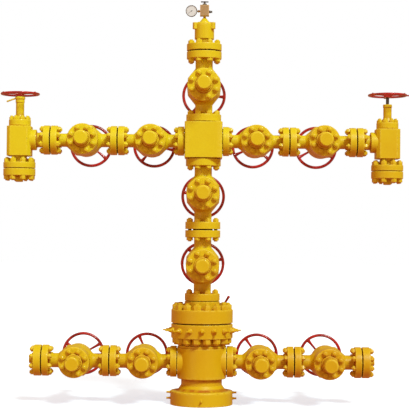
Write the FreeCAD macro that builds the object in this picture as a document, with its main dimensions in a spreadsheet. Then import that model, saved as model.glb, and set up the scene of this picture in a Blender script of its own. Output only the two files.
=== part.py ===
import FreeCAD, Part
import os
import Sketcher

# High-pressure oil wellhead tree: a casing head with a four-valve lower wing, a tubing head
# adapter, two master valves, a studded cross with two valves and a choke on each side, a swab
# valve and a tree cap. Millimetres, +Z up, origin at the centre of the casing bore's mouth.
# The pipe runs lie in the plane y = 0; the valve stems point along +Y.

sizes = {
    # base ring and casing head
    "ringDia": 510, "ringHeight": 118, "ringBevel": 6, "neckDia": 334, "neckHeight": 94,
    "headBodyDia": 399, "headBodyHeight": 250, "headStepDia": 388, "headStepHeight": 20,
    "headHubDia": 364, "headHubHeight": 82, "bigFlangeDia": 505, "headFlangeThick": 114,
    "bigRaisedDia": 305, "raisedHeight": 5, "casingBoreDia": 246, "casingBoreDepth": 256,
    "bowlTaper": 20, "cutMargin": 2, "bowlDia": 180, "outletHeight": 350, "outletReach": 200,
    # lock screws
    "lockCount": 16, "lockHeight": 607, "lockGlandDia": 47, "lockGlandLength": 26,
    "lockPinDia": 12, "lockPinLength": 18, "lockReach": 320, "ringScrewDia": 16,
    "ringScrewReach": 32, "ringScrewHigh": 98, "ringScrewLow": 50,
    # tubing head adapter
    "adapterThick": 109, "adapterBossDia": 289, "adapterBossHeight": 71,
    # valves of the vertical run
    "runFlangeDia": 287, "runFlangeThick": 64, "runRaisedDia": 154, "runNeckDia": 142,
    "runShoulderDia": 266, "runBonnetDia": 267, "runBore": 78, "runLength": 586,
    "runTaperStart": 150, "runTaperEnd": 72,
    # valves of the upper wings
    "upperFlangeDia": 240, "upperFlangeThick": 57, "upperRaisedDia": 130, "upperNeckDia": 110,
    "upperShoulderDia": 250, "upperBonnetDia": 250, "upperBore": 65, "upperLength": 551,
    "upperTaperStart": 143, "upperTaperEnd": 65,
    # valves of the lower wings
    "lowerFlangeDia": 254, "lowerFlangeThick": 57, "lowerRaisedDia": 130, "lowerNeckDia": 118,
    "lowerShoulderDia": 250, "lowerBonnetDia": 250, "lowerBore": 64, "lowerLength": 554,
    "lowerTaperStart": 143, "lowerTaperEnd": 65,
    # what every gate valve shares
    "barrelHalf": 150, "bonnetThick": 68, "tailDia": 116, "tailLength": 172, "tailBevel": 8,
    "throatDia": 120, "throatLength": 140, "capDia": 150, "capThick": 40, "housingDia": 115,
    "housingLength": 280, "shaftDia": 32, "shaftGap": 0.3, "shaftSocket": 50, "wheelGap": 12,
    "runWheelDia": 382, "wingWheelDia": 370, "rimDia": 25, "wheelHubDia": 58,
    "wheelHubHeight": 40, "spokeDia": 17,
    # cross
    "crossWidth": 308, "crossDepth": 308, "crossHeight": 295, "crossEdge": 14, "wingDrop": 7,
    # chokes
    "chokeOffset": 256, "chokeWidth": 204, "chokeFront": 141, "chokeTop": 111,
    "chokeBottom": 134, "chokeCollarDia": 170, "chokeCollarEnd": 140, "chokeNeckDia": 122,
    "chokeThroatDia": 122, "chokeThroatEnd": 185, "chokeFlangeDia": 262, "chokeFlangeThick": 48,
    "companionThick": 58, "companionStubDia": 65, "companionStubLength": 50, "companionBore": 43,
    "chokeBonnetDia": 180, "chokeBonnetThick": 53, "chokeConeDia": 104, "chokeConeHeight": 39,
    "chokeTubeDia": 68, "leftTubeTop": 330, "rightTubeTop": 315, "chokeCollarHeight": 24,
    "lockCollarDia": 84, "lockLeverDia": 14, "lockLeverLength": 88, "lockLeverRoot": 4,
    "lockLeverTilt": -110, "chokeStemDia": 26, "chokeStemFoot": 235, "chokeStemGap": 0.3,
    "leftWheelHeight": 378, "rightWheelHeight": 391, "chokeWheelDia": 322, "chokeHubHeight": 34,
    "gripDia": 12, "gripLength": 32, "lockBoreGap": 6, "lockRingGap": 0.5, "chokeTravel": 34.5,
    "stopGap": 6,
    # lower wing ends
    "endFlangeThick": 60, "plugDia": 62, "plugReach": 42, "plugShankDia": 48,
    # tree cap
    "capFlangeThick": 60, "capNeckDia": 130, "capNeckLength": 37, "nutClear": 4, "nutDia": 160,
    "nutHeight": 138, "nutBoreGap": 1, "nutSeat": 62, "nutBevel": 10, "capPlugGap": 4,
    "nutMouthDia": 86, "lugRoot": 6, "lugReach": 102, "lugWidth": 44, "lugHeight": 54,
    "lugDrop": 4, "lugTurn": -35, "plugSeatHeight": 45, "coneHeight": 38, "capStemDia": 22,
    "capStemHeight": 17, "blockWidth": 74, "blockDepth": 70, "blockHeight": 88, "bleedDia": 22,
    "bleedLength": 26, "needleNutDia": 36, "needleNutHeight": 14, "needleStemDia": 14,
    "needleStemReach": 9, "needleStemGap": 0.3, "needleWell": 40, "needleLift": 4,
    "needleFloor": 1, "barDia": 12, "barLength": 68, "gaugeDia": 95, "gaugeDepth": 38,
    "gaugeSpan": 108, "gaugeStemDia": 16, "gaugeStemRoot": 20, "gaugeDrop": 5, "bleedDrop": 9,
    # test valve on the adapter
    "testAngle": 45, "testHeight": 815, "testBodyDia": 18, "testBodyLength": 92,
    "testShaftDia": 12, "testShaftGap": 0.3, "testSocket": 24, "testGap": 1, "testNeck": 16,
    "leverHubDia": 22, "leverHubHeight": 17, "leverDia": 14, "leverLength": 84, "leverTurn": 220,
}

doc = FreeCAD.newDocument("WellheadTree")
sheet = doc.addObject("Spreadsheet::Sheet", "sizes")
for row, (alias, value) in enumerate(sizes.items(), start=1):
    sheet.set("A%d" % row, str(value))
    sheet.setAlias("A%d" % row, alias)
doc.recompute()


def cell(formula):
    """Writes every size name in a formula as a reference to its cell."""
    words = []
    word = ""
    for letter in formula + " ":
        if letter.isalnum():
            word += letter
            continue
        words.append("sizes." + word if word in sizes else word)
        words.append(letter)
        word = ""
    return "".join(words).strip()


def number(formula):
    """The value that a formula of size names has now."""
    return float(sheet.evalExpression(cell(formula)))


def bind(obj, **formulas):
    """Binds properties of an object to formulas of size names."""
    for name, formula in formulas.items():
        obj.setExpression(name, cell(formula))
    return obj


def place(obj, x="0", y="0", z="0", turn=None):
    """Puts an object at a bound position; turn is a fixed rotation."""
    if turn is not None:
        obj.Placement = FreeCAD.Placement(FreeCAD.Vector(), turn)
    for axis, formula in (("x", x), ("y", y), ("z", z)):
        if formula != "0":
            obj.setExpression("Placement.Base." + axis, cell(formula))
    return obj


upright = FreeCAD.Rotation()
alongX = FreeCAD.Rotation(FreeCAD.Vector(0, 1, 0), 90)
alongMinusX = FreeCAD.Rotation(FreeCAD.Vector(0, 1, 0), -90)
alongY = FreeCAD.Rotation(FreeCAD.Vector(1, 0, 0), -90)
alongMinusY = FreeCAD.Rotation(FreeCAD.Vector(1, 0, 0), 90)


# ---------------------------------------------------------------- features of a PartDesign body

def newBody(label):
    body = doc.addObject("PartDesign::Body", label)
    body.Label = label
    return body


def sketchOn(body, role, name):
    """A sketch on one of the body's own origin planes."""
    sketch = body.newObject("Sketcher::SketchObject", name)
    plane = [f for f in body.Origin.OriginFeatures if f.Role == role][0]
    sketch.AttachmentSupport = (plane, [""])
    sketch.MapMode = "FlatFace"
    return sketch


def outline(sketch, corners):
    """A closed outline of straight lines whose corners are bound to formulas."""
    spots = [FreeCAD.Vector(number(u), number(v), 0) for u, v in corners]
    count = len(spots)
    for i in range(count):
        sketch.addGeometry(Part.LineSegment(spots[i], spots[(i + 1) % count]), False)
    for i in range(count):
        sketch.addConstraint(Sketcher.Constraint("Coincident", i, 2, (i + 1) % count, 1))
    for i, (u, v) in enumerate(corners):
        for kind, axis, formula in (("DistanceX", -2, u), ("DistanceY", -1, v)):
            if formula == "0":
                sketch.addConstraint(Sketcher.Constraint("PointOnObject", i, 1, axis))
                continue
            index = sketch.addConstraint(Sketcher.Constraint(kind, -1, 1, i, 1, number(formula)))
            sketch.setExpression("Constraints[%d]" % index, cell(formula))
    return sketch


def turned(body, corners, name="Turned"):
    """Turns an outline of (radius, height) corners about the body's Z axis."""
    sketch = outline(sketchOn(body, "XZ_Plane", name + "Outline"), corners)
    turn = body.newObject("PartDesign::Revolution", name)
    turn.Profile = sketch
    turn.ReferenceAxis = (sketch, ["V_Axis"])
    turn.Angle = 360
    return turn


def circleOn(body, role, name, dia, height="0"):
    """A sketched circle on the plane's vertical axis, bound in size and height."""
    sketch = sketchOn(body, role, name)
    spot = FreeCAD.Vector(0, number(height), 0)
    sketch.addGeometry(Part.Circle(spot, FreeCAD.Vector(0, 0, 1), number(dia) / 2), False)
    index = sketch.addConstraint(Sketcher.Constraint("Diameter", 0, number(dia)))
    sketch.setExpression("Constraints[%d]" % index, cell(dia))
    if height == "0":
        sketch.addConstraint(Sketcher.Constraint("Coincident", 0, 3, -1, 1))
        return sketch
    sketch.addConstraint(Sketcher.Constraint("PointOnObject", 0, 3, -2))
    index = sketch.addConstraint(Sketcher.Constraint("DistanceY", -1, 1, 0, 3, number(height)))
    sketch.setExpression("Constraints[%d]" % index, cell(height))
    return sketch


def padded(body, sketch, length, name="Pad", middle=True):
    pad = body.newObject("PartDesign::Pad", name)
    pad.Profile = sketch
    pad.Midplane = middle
    return bind(pad, Length=length)


def bored(body, role, dia, reach, name="Bore", height="0"):
    """Cuts a round hole both ways from a plane, reach in all."""
    sketch = circleOn(body, role, name + "Circle", dia, height)
    cut = body.newObject("PartDesign::Pocket", name)
    cut.Profile = sketch
    cut.Midplane = True
    return bind(cut, Length=reach)


# ---------------------------------------------------------------- Part primitives

def cylinder(name, dia, length, x="0", y="0", z="0", turn=None):
    solid = bind(doc.addObject("Part::Cylinder", name), Radius=dia + " / 2", Height=length)
    return place(solid, x, y, z, turn)


def block(name, width, depth, height, x="0", y="0", z="0"):
    solid = bind(doc.addObject("Part::Box", name), Length=width, Width=depth, Height=height)
    return place(solid, x, y, z)


def fused(label, pieces):
    whole = doc.addObject("Part::MultiFuse", label)
    whole.Shapes = pieces
    whole.Label = label
    return whole


def cut(label, base, tool):
    rest = doc.addObject("Part::Cut", label)
    rest.Base = base
    rest.Tool = tool
    rest.Label = label
    return rest


def gathered(label, pieces):
    """Like pieces that don't touch, kept in one node."""
    group = doc.addObject("Part::Compound", label)
    group.Links = pieces
    group.Label = label
    return group


nodes = []


def keep(obj):
    nodes.append(obj)
    return obj


# ---------------------------------------------------------------- heights and reaches

headTop = "(ringHeight + neckHeight + headBodyHeight + headHubHeight + headFlangeThick)"
adapterFoot = "(%s + raisedHeight)" % headTop
runFoot = "(%s + adapterThick + adapterBossHeight)" % adapterFoot
crossFoot = "(%s + 2 * runLength)" % runFoot
crossTop = "(%s + crossHeight)" % crossFoot
wingHeight = "(%s + crossHeight / 2 - wingDrop)" % crossFoot
treeTop = "(%s + runLength)" % crossTop
upperStart = "(crossWidth / 2)"
chokeX = "(%s + 2 * upperLength + chokeOffset)" % upperStart
lowerEnd = "(outletReach + 2 * lowerLength)"


# ---------------------------------------------------------------- casing head

def makeBaseRing():
    body = newBody("base_ring")
    turned(body, [("neckDia / 2", "0"), ("ringDia / 2 - ringBevel", "0"),
                  ("ringDia / 2", "ringBevel"), ("ringDia / 2", "ringHeight - ringBevel"),
                  ("ringDia / 2 - ringBevel", "ringHeight"), ("neckDia / 2", "ringHeight")])
    return keep(body)


def makeHead():
    body = newBody("casing_head")
    bodyFoot = "ringHeight + neckHeight"
    hubFoot = bodyFoot + " + headBodyHeight"
    flangeFoot = hubFoot + " + headHubHeight"
    turned(body, [("casingBoreDia / 2", "0"), ("neckDia / 2", "0"), ("neckDia / 2", bodyFoot),
                  ("headBodyDia / 2", bodyFoot), ("headBodyDia / 2", hubFoot),
                  ("headStepDia / 2", hubFoot), ("headStepDia / 2", hubFoot + " + headStepHeight"),
                  ("headHubDia / 2", hubFoot + " + headStepHeight"),
                  ("headHubDia / 2", flangeFoot),
                  ("bigFlangeDia / 2", flangeFoot), ("bigFlangeDia / 2", headTop),
                  ("bigRaisedDia / 2", headTop), ("bigRaisedDia / 2", adapterFoot),
                  ("bowlDia / 2", adapterFoot), ("bowlDia / 2", "casingBoreDepth + bowlTaper"),
                  ("casingBoreDia / 2", "casingBoreDepth")])
    outlets = circleOn(body, "YZ_Plane", "OutletCircle", "lowerFlangeDia", "outletHeight")
    padded(body, outlets, "2 * outletReach", "Outlets")
    bowl = circleOn(body, "XY_Plane", "BowlCircle", "bowlDia")
    clear = body.newObject("PartDesign::Pocket", "Bowl")
    clear.Profile = bowl
    clear.Midplane = True
    bind(clear, Length="3 * (%s)" % adapterFoot)
    bored(body, "XY_Plane", "casingBoreDia", "2 * casingBoreDepth", "CasingBore")
    bored(body, "YZ_Plane", "lowerBore", "2 * outletReach + cutMargin", "OutletBore", "outletHeight")
    return keep(body)


def makeLockScrews():
    """Radial screws in glands round the head's top flange."""
    screws = []
    for i in range(sizes["lockCount"]):
        turn = FreeCAD.Rotation(FreeCAD.Vector(0, 0, 1), 360.0 * i / sizes["lockCount"])
        screw = newBody("LockScrew%d" % i)
        start = "bigFlangeDia / 2"
        gland = start + " + lockGlandLength"
        turned(screw, [("0", start), ("lockGlandDia / 2", start), ("lockGlandDia / 2", gland),
                       ("lockPinDia / 2", "lockReach - lockPinLength"), ("lockPinDia / 2", "lockReach"),
                       ("0", "lockReach")])
        place(screw, z="lockHeight", turn=turn.multiply(alongX))
        screws.append(screw)
    return keep(gathered("head_lock_screws", screws))


def makeRingScrews():
    """Short screws round the base ring: two high at the sides, four low."""
    screws = []
    for height, count in (("ringScrewHigh", 2), ("ringScrewLow", 4)):
        for i in range(count):
            turn = FreeCAD.Rotation(FreeCAD.Vector(0, 0, 1), 360.0 * i / count)
            screw = newBody("%s%d" % (height, i))
            start = "ringDia / 2"
            tip = start + " + ringScrewReach"
            turned(screw, [("0", start), ("ringScrewDia / 2", start),
                           ("ringScrewDia / 2", tip), ("0", tip)])
            place(screw, z=height, turn=turn.multiply(alongX))
            screws.append(screw)
    return keep(gathered("base_lock_screws", screws))


def makeAdapter():
    body = newBody("tubing_adapter")
    rise = "raisedHeight"
    bossFoot = "raisedHeight + adapterThick"
    top = "adapterThick + adapterBossHeight"
    turned(body, [("runBore / 2", "0"), ("bigRaisedDia / 2", "0"), ("bigRaisedDia / 2", rise),
                  ("bigFlangeDia / 2", rise), ("bigFlangeDia / 2", bossFoot),
                  ("adapterBossDia / 2", bossFoot), ("adapterBossDia / 2", top),
                  ("runBore / 2", top)])
    return keep(place(body, z=adapterFoot))


# ---------------------------------------------------------------- gate valves

def valveBody(label, kind, turn, x="0", z="0"):
    """A through-conduit body: two flanged necks that swell into a round barrel across the run."""
    def own(words):
        return words.replace("#", kind)
    body = newBody(label)
    middle = own("#Length / 2")
    end = own("#Length")
    far = own("#Length - ")
    turned(body, [
        (own("#Bore / 2"), "0"), (own("#RaisedDia / 2"), "0"),
        (own("#RaisedDia / 2"), "raisedHeight"), (own("#FlangeDia / 2"), "raisedHeight"),
        (own("#FlangeDia / 2"), own("#FlangeThick")), (own("#NeckDia / 2"), own("#FlangeThick")),
        (own("#NeckDia / 2"), middle + own(" - #TaperStart")),
        (own("#ShoulderDia / 2"), middle + own(" - #TaperEnd")),
        (own("#ShoulderDia / 2"), middle + own(" + #TaperEnd")),
        (own("#NeckDia / 2"), middle + own(" + #TaperStart")),
        (own("#NeckDia / 2"), far + own("#FlangeThick")),
        (own("#FlangeDia / 2"), far + own("#FlangeThick")),
        (own("#FlangeDia / 2"), far + "raisedHeight"),
        (own("#RaisedDia / 2"), far + "raisedHeight"), (own("#RaisedDia / 2"), end),
        (own("#Bore / 2"), end)])
    barrel = circleOn(body, "XZ_Plane", "BarrelCircle", own("#BonnetDia"), middle)
    padded(body, barrel, "2 * barrelHalf", "Barrel")
    bored(body, "XY_Plane", own("#Bore"), "2 * %s + cutMargin" % end, "Conduit")
    return keep(place(body, x, "0", z, turn))


def tailBonnet(name, kind, x="0", z="0"):
    """The front cover, with the round housing of the balance stem."""
    body = newBody(name)
    dia = kind + "BonnetDia / 2"
    end = "bonnetThick + tailLength"
    turned(body, [("0", "0"), (dia, "0"), (dia, "bonnetThick"), ("tailDia / 2", "bonnetThick"),
                  ("tailDia / 2", end + " - tailBevel"), ("tailDia / 2 - tailBevel", end),
                  ("0", end)])
    return place(body, x, "-barrelHalf", z, alongMinusY)


def stemBonnet(name, kind, x="0", z="0"):
    """The back cover, with its throat and the bearing housing that the wheel's shaft turns in."""
    body = newBody(name)
    dia = kind + "BonnetDia / 2"
    capFoot = "bonnetThick + throatLength"
    capTop = capFoot + " + capThick"
    end = capTop + " + housingLength"
    bore = "(shaftDia / 2 + shaftGap)"
    turned(body, [("0", "0"), (dia, "0"), (dia, "bonnetThick"), ("throatDia / 2", "bonnetThick"),
                  ("throatDia / 2", capFoot), ("capDia / 2", capFoot), ("capDia / 2", capTop),
                  ("housingDia / 2", capTop), ("housingDia / 2", end), (bore, end),
                  (bore, end + " - shaftSocket"), ("0", end + " - shaftSocket")])
    return place(body, x, "barrelHalf", z, alongY)


housingEnd = "(barrelHalf + bonnetThick + throatLength + capThick + housingLength)"


def wheelPieces(name, wheelDia, hubHeight, firstSpoke):
    """Rim, hub and three spokes that flare at the rim, flat in the XY plane at height 0."""
    rim = doc.addObject("Part::Torus", name + "Rim")
    bind(rim, Radius1="(%s - rimDia) / 2" % wheelDia, Radius2="rimDia / 2")
    hub = cylinder(name + "Hub", "wheelHubDia", hubHeight, z="-%s / 2" % hubHeight)
    pieces = [rim, hub]
    for i in range(3):
        angle = firstSpoke + 120 * i
        turn = FreeCAD.Rotation(FreeCAD.Vector(0, 0, 1), angle).multiply(alongX)
        reach = "((%s - rimDia) / 2)" % wheelDia
        pieces.append(cylinder(name + "Spoke%d" % i, "spokeDia", reach, turn=turn))
    return pieces


def gateWheel(label, wheelDia, firstSpoke, x="0", z="0"):
    """A handwheel with the end of the stem, turning in the bearing housing.

    firstSpoke is its angle from +X towards +Z; the wheel's own Y points down."""
    pieces = wheelPieces(label, wheelDia, "wheelHubHeight", -firstSpoke)
    shaft = cylinder(label + "Shaft", "shaftDia",
                     "wheelGap + shaftSocket - shaftGap + wheelHubHeight / 2",
                     z="-(wheelGap + shaftSocket - shaftGap + wheelHubHeight / 2)")
    wheel = fused(label, pieces + [shaft])
    return keep(place(wheel, x, housingEnd + " + wheelGap + wheelHubHeight / 2", z, alongY))


def gateValve(name, kind, wheelDia, firstSpoke, turn, x="0", z="0", middleX="0", middleZ="0"):
    valveBody(name + "_body", kind, turn, x, z)
    gateWheel(name + "_handwheel", wheelDia, firstSpoke, middleX, middleZ)
    return [tailBonnet(name + "Tail", kind, middleX, middleZ),
            stemBonnet(name + "Stem", kind, middleX, middleZ)]


def makeRunValves():
    covers = []
    for name, foot, firstSpoke in (("lower_master", runFoot, 14),
                                   ("upper_master", "(%s + runLength)" % runFoot, 168),
                                   ("swab", crossTop, -3)):
        covers += gateValve(name, "run", "runWheelDia", firstSpoke, upright, z=foot,
                            middleZ=foot + " + runLength / 2")
    keep(gathered("run_bonnets", covers))


def makeWing(level, side, spokes):
    """Two gate valves in a row out from the column; side is -1 for left and 1 for right."""
    word = "left" if side < 0 else "right"
    start = upperStart if level == "upper" else "outletReach"
    height = wingHeight if level == "upper" else "outletHeight"
    sign = "-" if side < 0 else ""
    turn = alongMinusX if side < 0 else alongX
    covers = []
    for i, place_ in enumerate(("inner", "outer")):
        near = "%s + %d * %sLength" % (start, i, level)
        covers += gateValve("%s_%s_%s" % (level, word, place_), level, "wingWheelDia",
                            spokes[i], turn, "%s(%s)" % (sign, near), height,
                            "%s(%s + %sLength / 2)" % (sign, near, level), height)
    keep(gathered("%s_%s_bonnets" % (level, word), covers))


# ---------------------------------------------------------------- cross

def makeCross():
    body = newBody("cross_block")
    sketch = sketchOn(body, "XY_Plane", "BlockOutline")
    half = FreeCAD.Vector(number("crossWidth / 2"), number("crossDepth / 2"), 0)
    spots = [FreeCAD.Vector(-half.x, -half.y, 0), FreeCAD.Vector(half.x, -half.y, 0),
             half, FreeCAD.Vector(-half.x, half.y, 0)]
    for i in range(4):
        sketch.addGeometry(Part.LineSegment(spots[i], spots[(i + 1) % 4]), False)
    for i in range(4):
        sketch.addConstraint(Sketcher.Constraint("Coincident", i, 2, (i + 1) % 4, 1))
        sketch.addConstraint(Sketcher.Constraint("Horizontal" if i % 2 == 0 else "Vertical", i))
    sketch.addConstraint(Sketcher.Constraint("Symmetric", 0, 1, 1, 2, -1, 1))
    for kind, edge, formula in (("DistanceX", 0, "crossWidth"), ("DistanceY", 1, "crossDepth")):
        index = sketch.addConstraint(
            Sketcher.Constraint(kind, edge, 1, edge, 2, number(formula)))
        sketch.setExpression("Constraints[%d]" % index, cell(formula))
    pad = padded(body, sketch, "crossHeight", "Block", middle=False)
    edges = body.newObject("PartDesign::Fillet", "Edges")
    edges.Base = (pad, [""])
    edges.UseAllEdges = True
    bind(edges, Radius="crossEdge")
    bored(body, "XY_Plane", "runBore", "3 * crossHeight", "RunBore")
    bored(body, "YZ_Plane", "upperBore", "crossWidth + cutMargin", "WingBore", "crossHeight / 2 - wingDrop")
    return keep(place(body, z=crossFoot))


# ---------------------------------------------------------------- chokes

def chokeBody(word, x, turn):
    """An angle body: a square block with bevelled corners, an inlet branch and a bottom outlet."""
    name = "choke_%s_body" % word
    height = "chokeTop + chokeBottom"
    square = block(name + "Square", "chokeWidth", "chokeWidth", height,
                   "-chokeWidth / 2", "-chokeWidth / 2", "-chokeBottom")
    # the bevels are the faces of a second, larger square set at 45 degrees
    across = "(chokeWidth + chokeFront) / sqrt(2)"
    bevel = block(name + "Bevel", across, across, height, z="-chokeBottom")
    bevel.Placement = FreeCAD.Placement(
        FreeCAD.Vector(), FreeCAD.Rotation(FreeCAD.Vector(0, 0, 1), 45))
    bevel.setExpression("Placement.Base.y", cell("-(chokeWidth + chokeFront) / 2"))
    core = doc.addObject("Part::Common", name + "Core")
    core.Base = square
    core.Tool = bevel
    flangeFoot = "chokeOffset - upperFlangeThick"
    pieces = [
        core,
        cylinder(name + "Collar", "chokeCollarDia", "chokeCollarEnd", turn=alongX),
        cylinder(name + "Neck", "chokeNeckDia", "chokeOffset - upperFlangeThick", turn=alongX),
        cylinder(name + "Flange", "upperFlangeDia", "upperFlangeThick - raisedHeight",
                 x=flangeFoot, turn=alongX),
        cylinder(name + "Face", "upperRaisedDia", "raisedHeight",
                 x="chokeOffset - raisedHeight", turn=alongX),
        cylinder(name + "Throat", "chokeThroatDia", "chokeThroatEnd", z="-chokeThroatEnd"),
        cylinder(name + "Outlet", "chokeFlangeDia", "chokeFlangeThick",
                 z="-chokeThroatEnd - chokeFlangeThick")]
    bores = [
        cylinder(name + "Inlet", "upperBore", "chokeOffset + cutMargin", turn=alongX),
        cylinder(name + "Drop", "upperBore", "chokeThroatEnd + chokeFlangeThick + cutMargin",
                 z="-chokeThroatEnd - chokeFlangeThick - cutMargin")]
    whole = cut(name, fused(name + "Solid", pieces), fused(name + "Bores", bores))
    return keep(place(whole, x, "0", wingHeight, turn))


def chokeBonnet(word, x):
    """The bonnet flange, its cone and the long tube that guides the stem."""
    body = newBody("choke_%s_bonnet" % word)
    bore = "(chokeStemDia / 2 + chokeStemGap)"
    tubeTop = "%sTubeTop" % word
    flangeTop = "chokeTop + chokeBonnetThick"
    coneTop = flangeTop + " + chokeConeHeight"
    floor = "chokeStemFoot - chokeTravel - stopGap"
    turned(body, [("0", "chokeTop"), ("chokeBonnetDia / 2", "chokeTop"),
                  ("chokeBonnetDia / 2", flangeTop), ("chokeConeDia / 2", flangeTop),
                  ("chokeTubeDia / 2", coneTop), ("chokeTubeDia / 2", tubeTop),
                  (bore, tubeTop), (bore, floor), ("0", floor)])
    return keep(place(body, x, "0", wingHeight))


def chokeStem(word, x, wheelHeight):
    """The rising stem, from inside the tube up to the wheel's hub."""
    reach = "%s - chokeHubHeight / 2 - chokeStemFoot" % wheelHeight
    stem = cylinder("choke_%s_stem" % word, "chokeStemDia", reach,
                    x, "0", wingHeight + " + chokeStemFoot")
    stem.Label = "choke_%s_stem" % word
    return keep(stem)


def chokeWheel(word, x, wheelHeight, firstSpoke, grip):
    name = "choke_%s_handwheel" % word
    pieces = wheelPieces(name, "chokeWheelDia", "chokeHubHeight", firstSpoke)
    if grip:
        pieces.append(cylinder(name + "Grip", "gripDia", "gripLength",
                               x="chokeWheelDia / 2 - rimDia / 2", turn=alongX))
    wheel = fused(name, pieces)
    return keep(place(wheel, x, "0", wingHeight + " + " + wheelHeight))


def chokeOutlet(word, x):
    """The companion flange under the choke, with the stub that a flowline is welded to."""
    body = newBody("choke_%s_outlet" % word)
    stubTop = "companionStubLength"
    flangeTop = stubTop + " + companionThick"
    face = flangeTop + " + raisedHeight"
    turned(body, [("companionBore / 2", "0"), ("companionStubDia / 2", "0"),
                  ("companionStubDia / 2", stubTop), ("chokeFlangeDia / 2", stubTop),
                  ("chokeFlangeDia / 2", flangeTop), ("upperRaisedDia / 2", flangeTop),
                  ("upperRaisedDia / 2", face), ("companionBore / 2", face)])
    foot = wingHeight + " - chokeThroatEnd - chokeFlangeThick - (%s)" % face
    return keep(place(body, x, "0", foot))


def chokeLock(x):
    """The clamp collar on top of the left choke's tube, with its lever."""
    ring = newBody("LockRing")
    bore = "(chokeStemDia / 2 + lockBoreGap)"
    turned(ring, [(bore, "0"), ("lockCollarDia / 2", "0"),
                  ("lockCollarDia / 2", "chokeCollarHeight"), (bore, "chokeCollarHeight")])
    lever = cylinder("LockLever", "lockLeverDia", "lockLeverLength",
                     x="-lockCollarDia / 2 + lockLeverRoot", z="chokeCollarHeight / 2",
                     turn=FreeCAD.Rotation(FreeCAD.Vector(0, 1, 0), sizes["lockLeverTilt"]))
    lock = fused("choke_left_lock", [ring, lever])
    return keep(place(lock, x, "0", wingHeight + " + leftTubeTop + lockRingGap"))


def makeChoke(word, side):
    x = "-" + chokeX if side < 0 else chokeX
    wheelHeight = "%sWheelHeight" % word
    chokeBody(word, x, upright if side < 0 else FreeCAD.Rotation(FreeCAD.Vector(0, 0, 1), 180))
    chokeBonnet(word, x)
    chokeStem(word, x, wheelHeight)
    chokeWheel(word, x, wheelHeight, -30 if side < 0 else 90, grip=side > 0)
    chokeOutlet(word, x)


# ---------------------------------------------------------------- lower wing ends

def makeEnd(word, side):
    """A blind end flange with a plug in its centre."""
    x = "-" + lowerEnd if side < 0 else lowerEnd
    turn = alongMinusX if side < 0 else alongX
    flange = newBody("lower_%s_end_flange" % word)
    back = "endFlangeThick + raisedHeight"
    turned(flange, [("plugShankDia / 2", "0"), ("lowerRaisedDia / 2", "0"),
                    ("lowerRaisedDia / 2", "raisedHeight"),
                    ("lowerFlangeDia / 2", "raisedHeight"), ("lowerFlangeDia / 2", back),
                    ("plugShankDia / 2", back)])
    keep(place(flange, x, "0", "outletHeight", turn))
    plug = newBody("lower_%s_plug" % word)
    turned(plug, [("0", "raisedHeight"), ("plugShankDia / 2", "raisedHeight"),
                  ("plugShankDia / 2", back), ("plugDia / 2", back),
                  ("plugDia / 2", back + " + plugReach"), ("0", back + " + plugReach")])
    keep(place(plug, x, "0", "outletHeight", turn))


# ---------------------------------------------------------------- tree cap

nutFoot = "(capFlangeThick + capNeckLength + nutClear)"
hubTop = "(%s + nutSeat)" % nutFoot
nutTop = "(%s + nutHeight)" % nutFoot
blockFoot = "(%s + coneHeight + capStemHeight)" % nutTop
blockTop = "(%s + blockHeight)" % blockFoot


def makeCap():
    """The cap flange with its threaded hub, the hammer nut, and the plug that the nut holds."""
    flange = newBody("cap_flange")
    neckTop = "capFlangeThick + capNeckLength"
    turned(flange, [("capStemDia / 2", "0"), ("runRaisedDia / 2", "0"),
                    ("runRaisedDia / 2", "raisedHeight"), ("runFlangeDia / 2", "raisedHeight"),
                    ("runFlangeDia / 2", "capFlangeThick"), ("capNeckDia / 2", "capFlangeThick"),
                    ("capNeckDia / 2", hubTop), ("capStemDia / 2", hubTop)])
    keep(place(flange, z=treeTop))
    ring = newBody("NutRing")
    inner = "(capNeckDia / 2 + nutBoreGap)"
    seat = "(%s + plugSeatHeight)" % hubTop
    turned(ring, [(inner, nutFoot), ("nutDia / 2", nutFoot), ("nutDia / 2", nutTop + " - nutBevel"),
                  ("nutDia / 2 - nutBevel", nutTop), ("nutMouthDia / 2", nutTop),
                  ("nutMouthDia / 2", seat), (inner, seat)])
    lugs = []
    for i in range(3):
        turn = FreeCAD.Rotation(FreeCAD.Vector(0, 0, 1), sizes["lugTurn"] + 120 * i)
        lug = block("NutLug%d" % i, "lugReach - nutDia / 2 + lugRoot", "lugWidth", "lugHeight")
        lug.Placement = FreeCAD.Placement(FreeCAD.Vector(), turn)
        reach = "(nutDia / 2 - lugRoot)"
        angle = "(lugTurn + %d)" % (120 * i)
        bind(lug, **{"Placement.Base.x": "%s * cos(%s) + lugWidth / 2 * sin(%s)" % (
            reach, angle, angle)})
        bind(lug, **{"Placement.Base.y": "%s * sin(%s) - lugWidth / 2 * cos(%s)" % (
            reach, angle, angle)})
        bind(lug, **{"Placement.Base.z": nutTop + " - lugDrop - lugHeight"})
        lugs.append(lug)
    keep(place(fused("cap_union_nut", [ring] + lugs), z=treeTop))
    plug = newBody("cap_plug")
    turned(plug, [("0", hubTop), ("capNeckDia / 2 - capPlugGap", hubTop), ("capNeckDia / 2 - capPlugGap", seat),
                  ("nutMouthDia / 2 - nutBoreGap", seat), ("nutMouthDia / 2 - nutBoreGap", nutTop),
                  ("capStemDia / 2", nutTop + " + coneHeight"), ("capStemDia / 2", blockFoot),
                  ("0", blockFoot)])
    keep(place(plug, z=treeTop))


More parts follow.
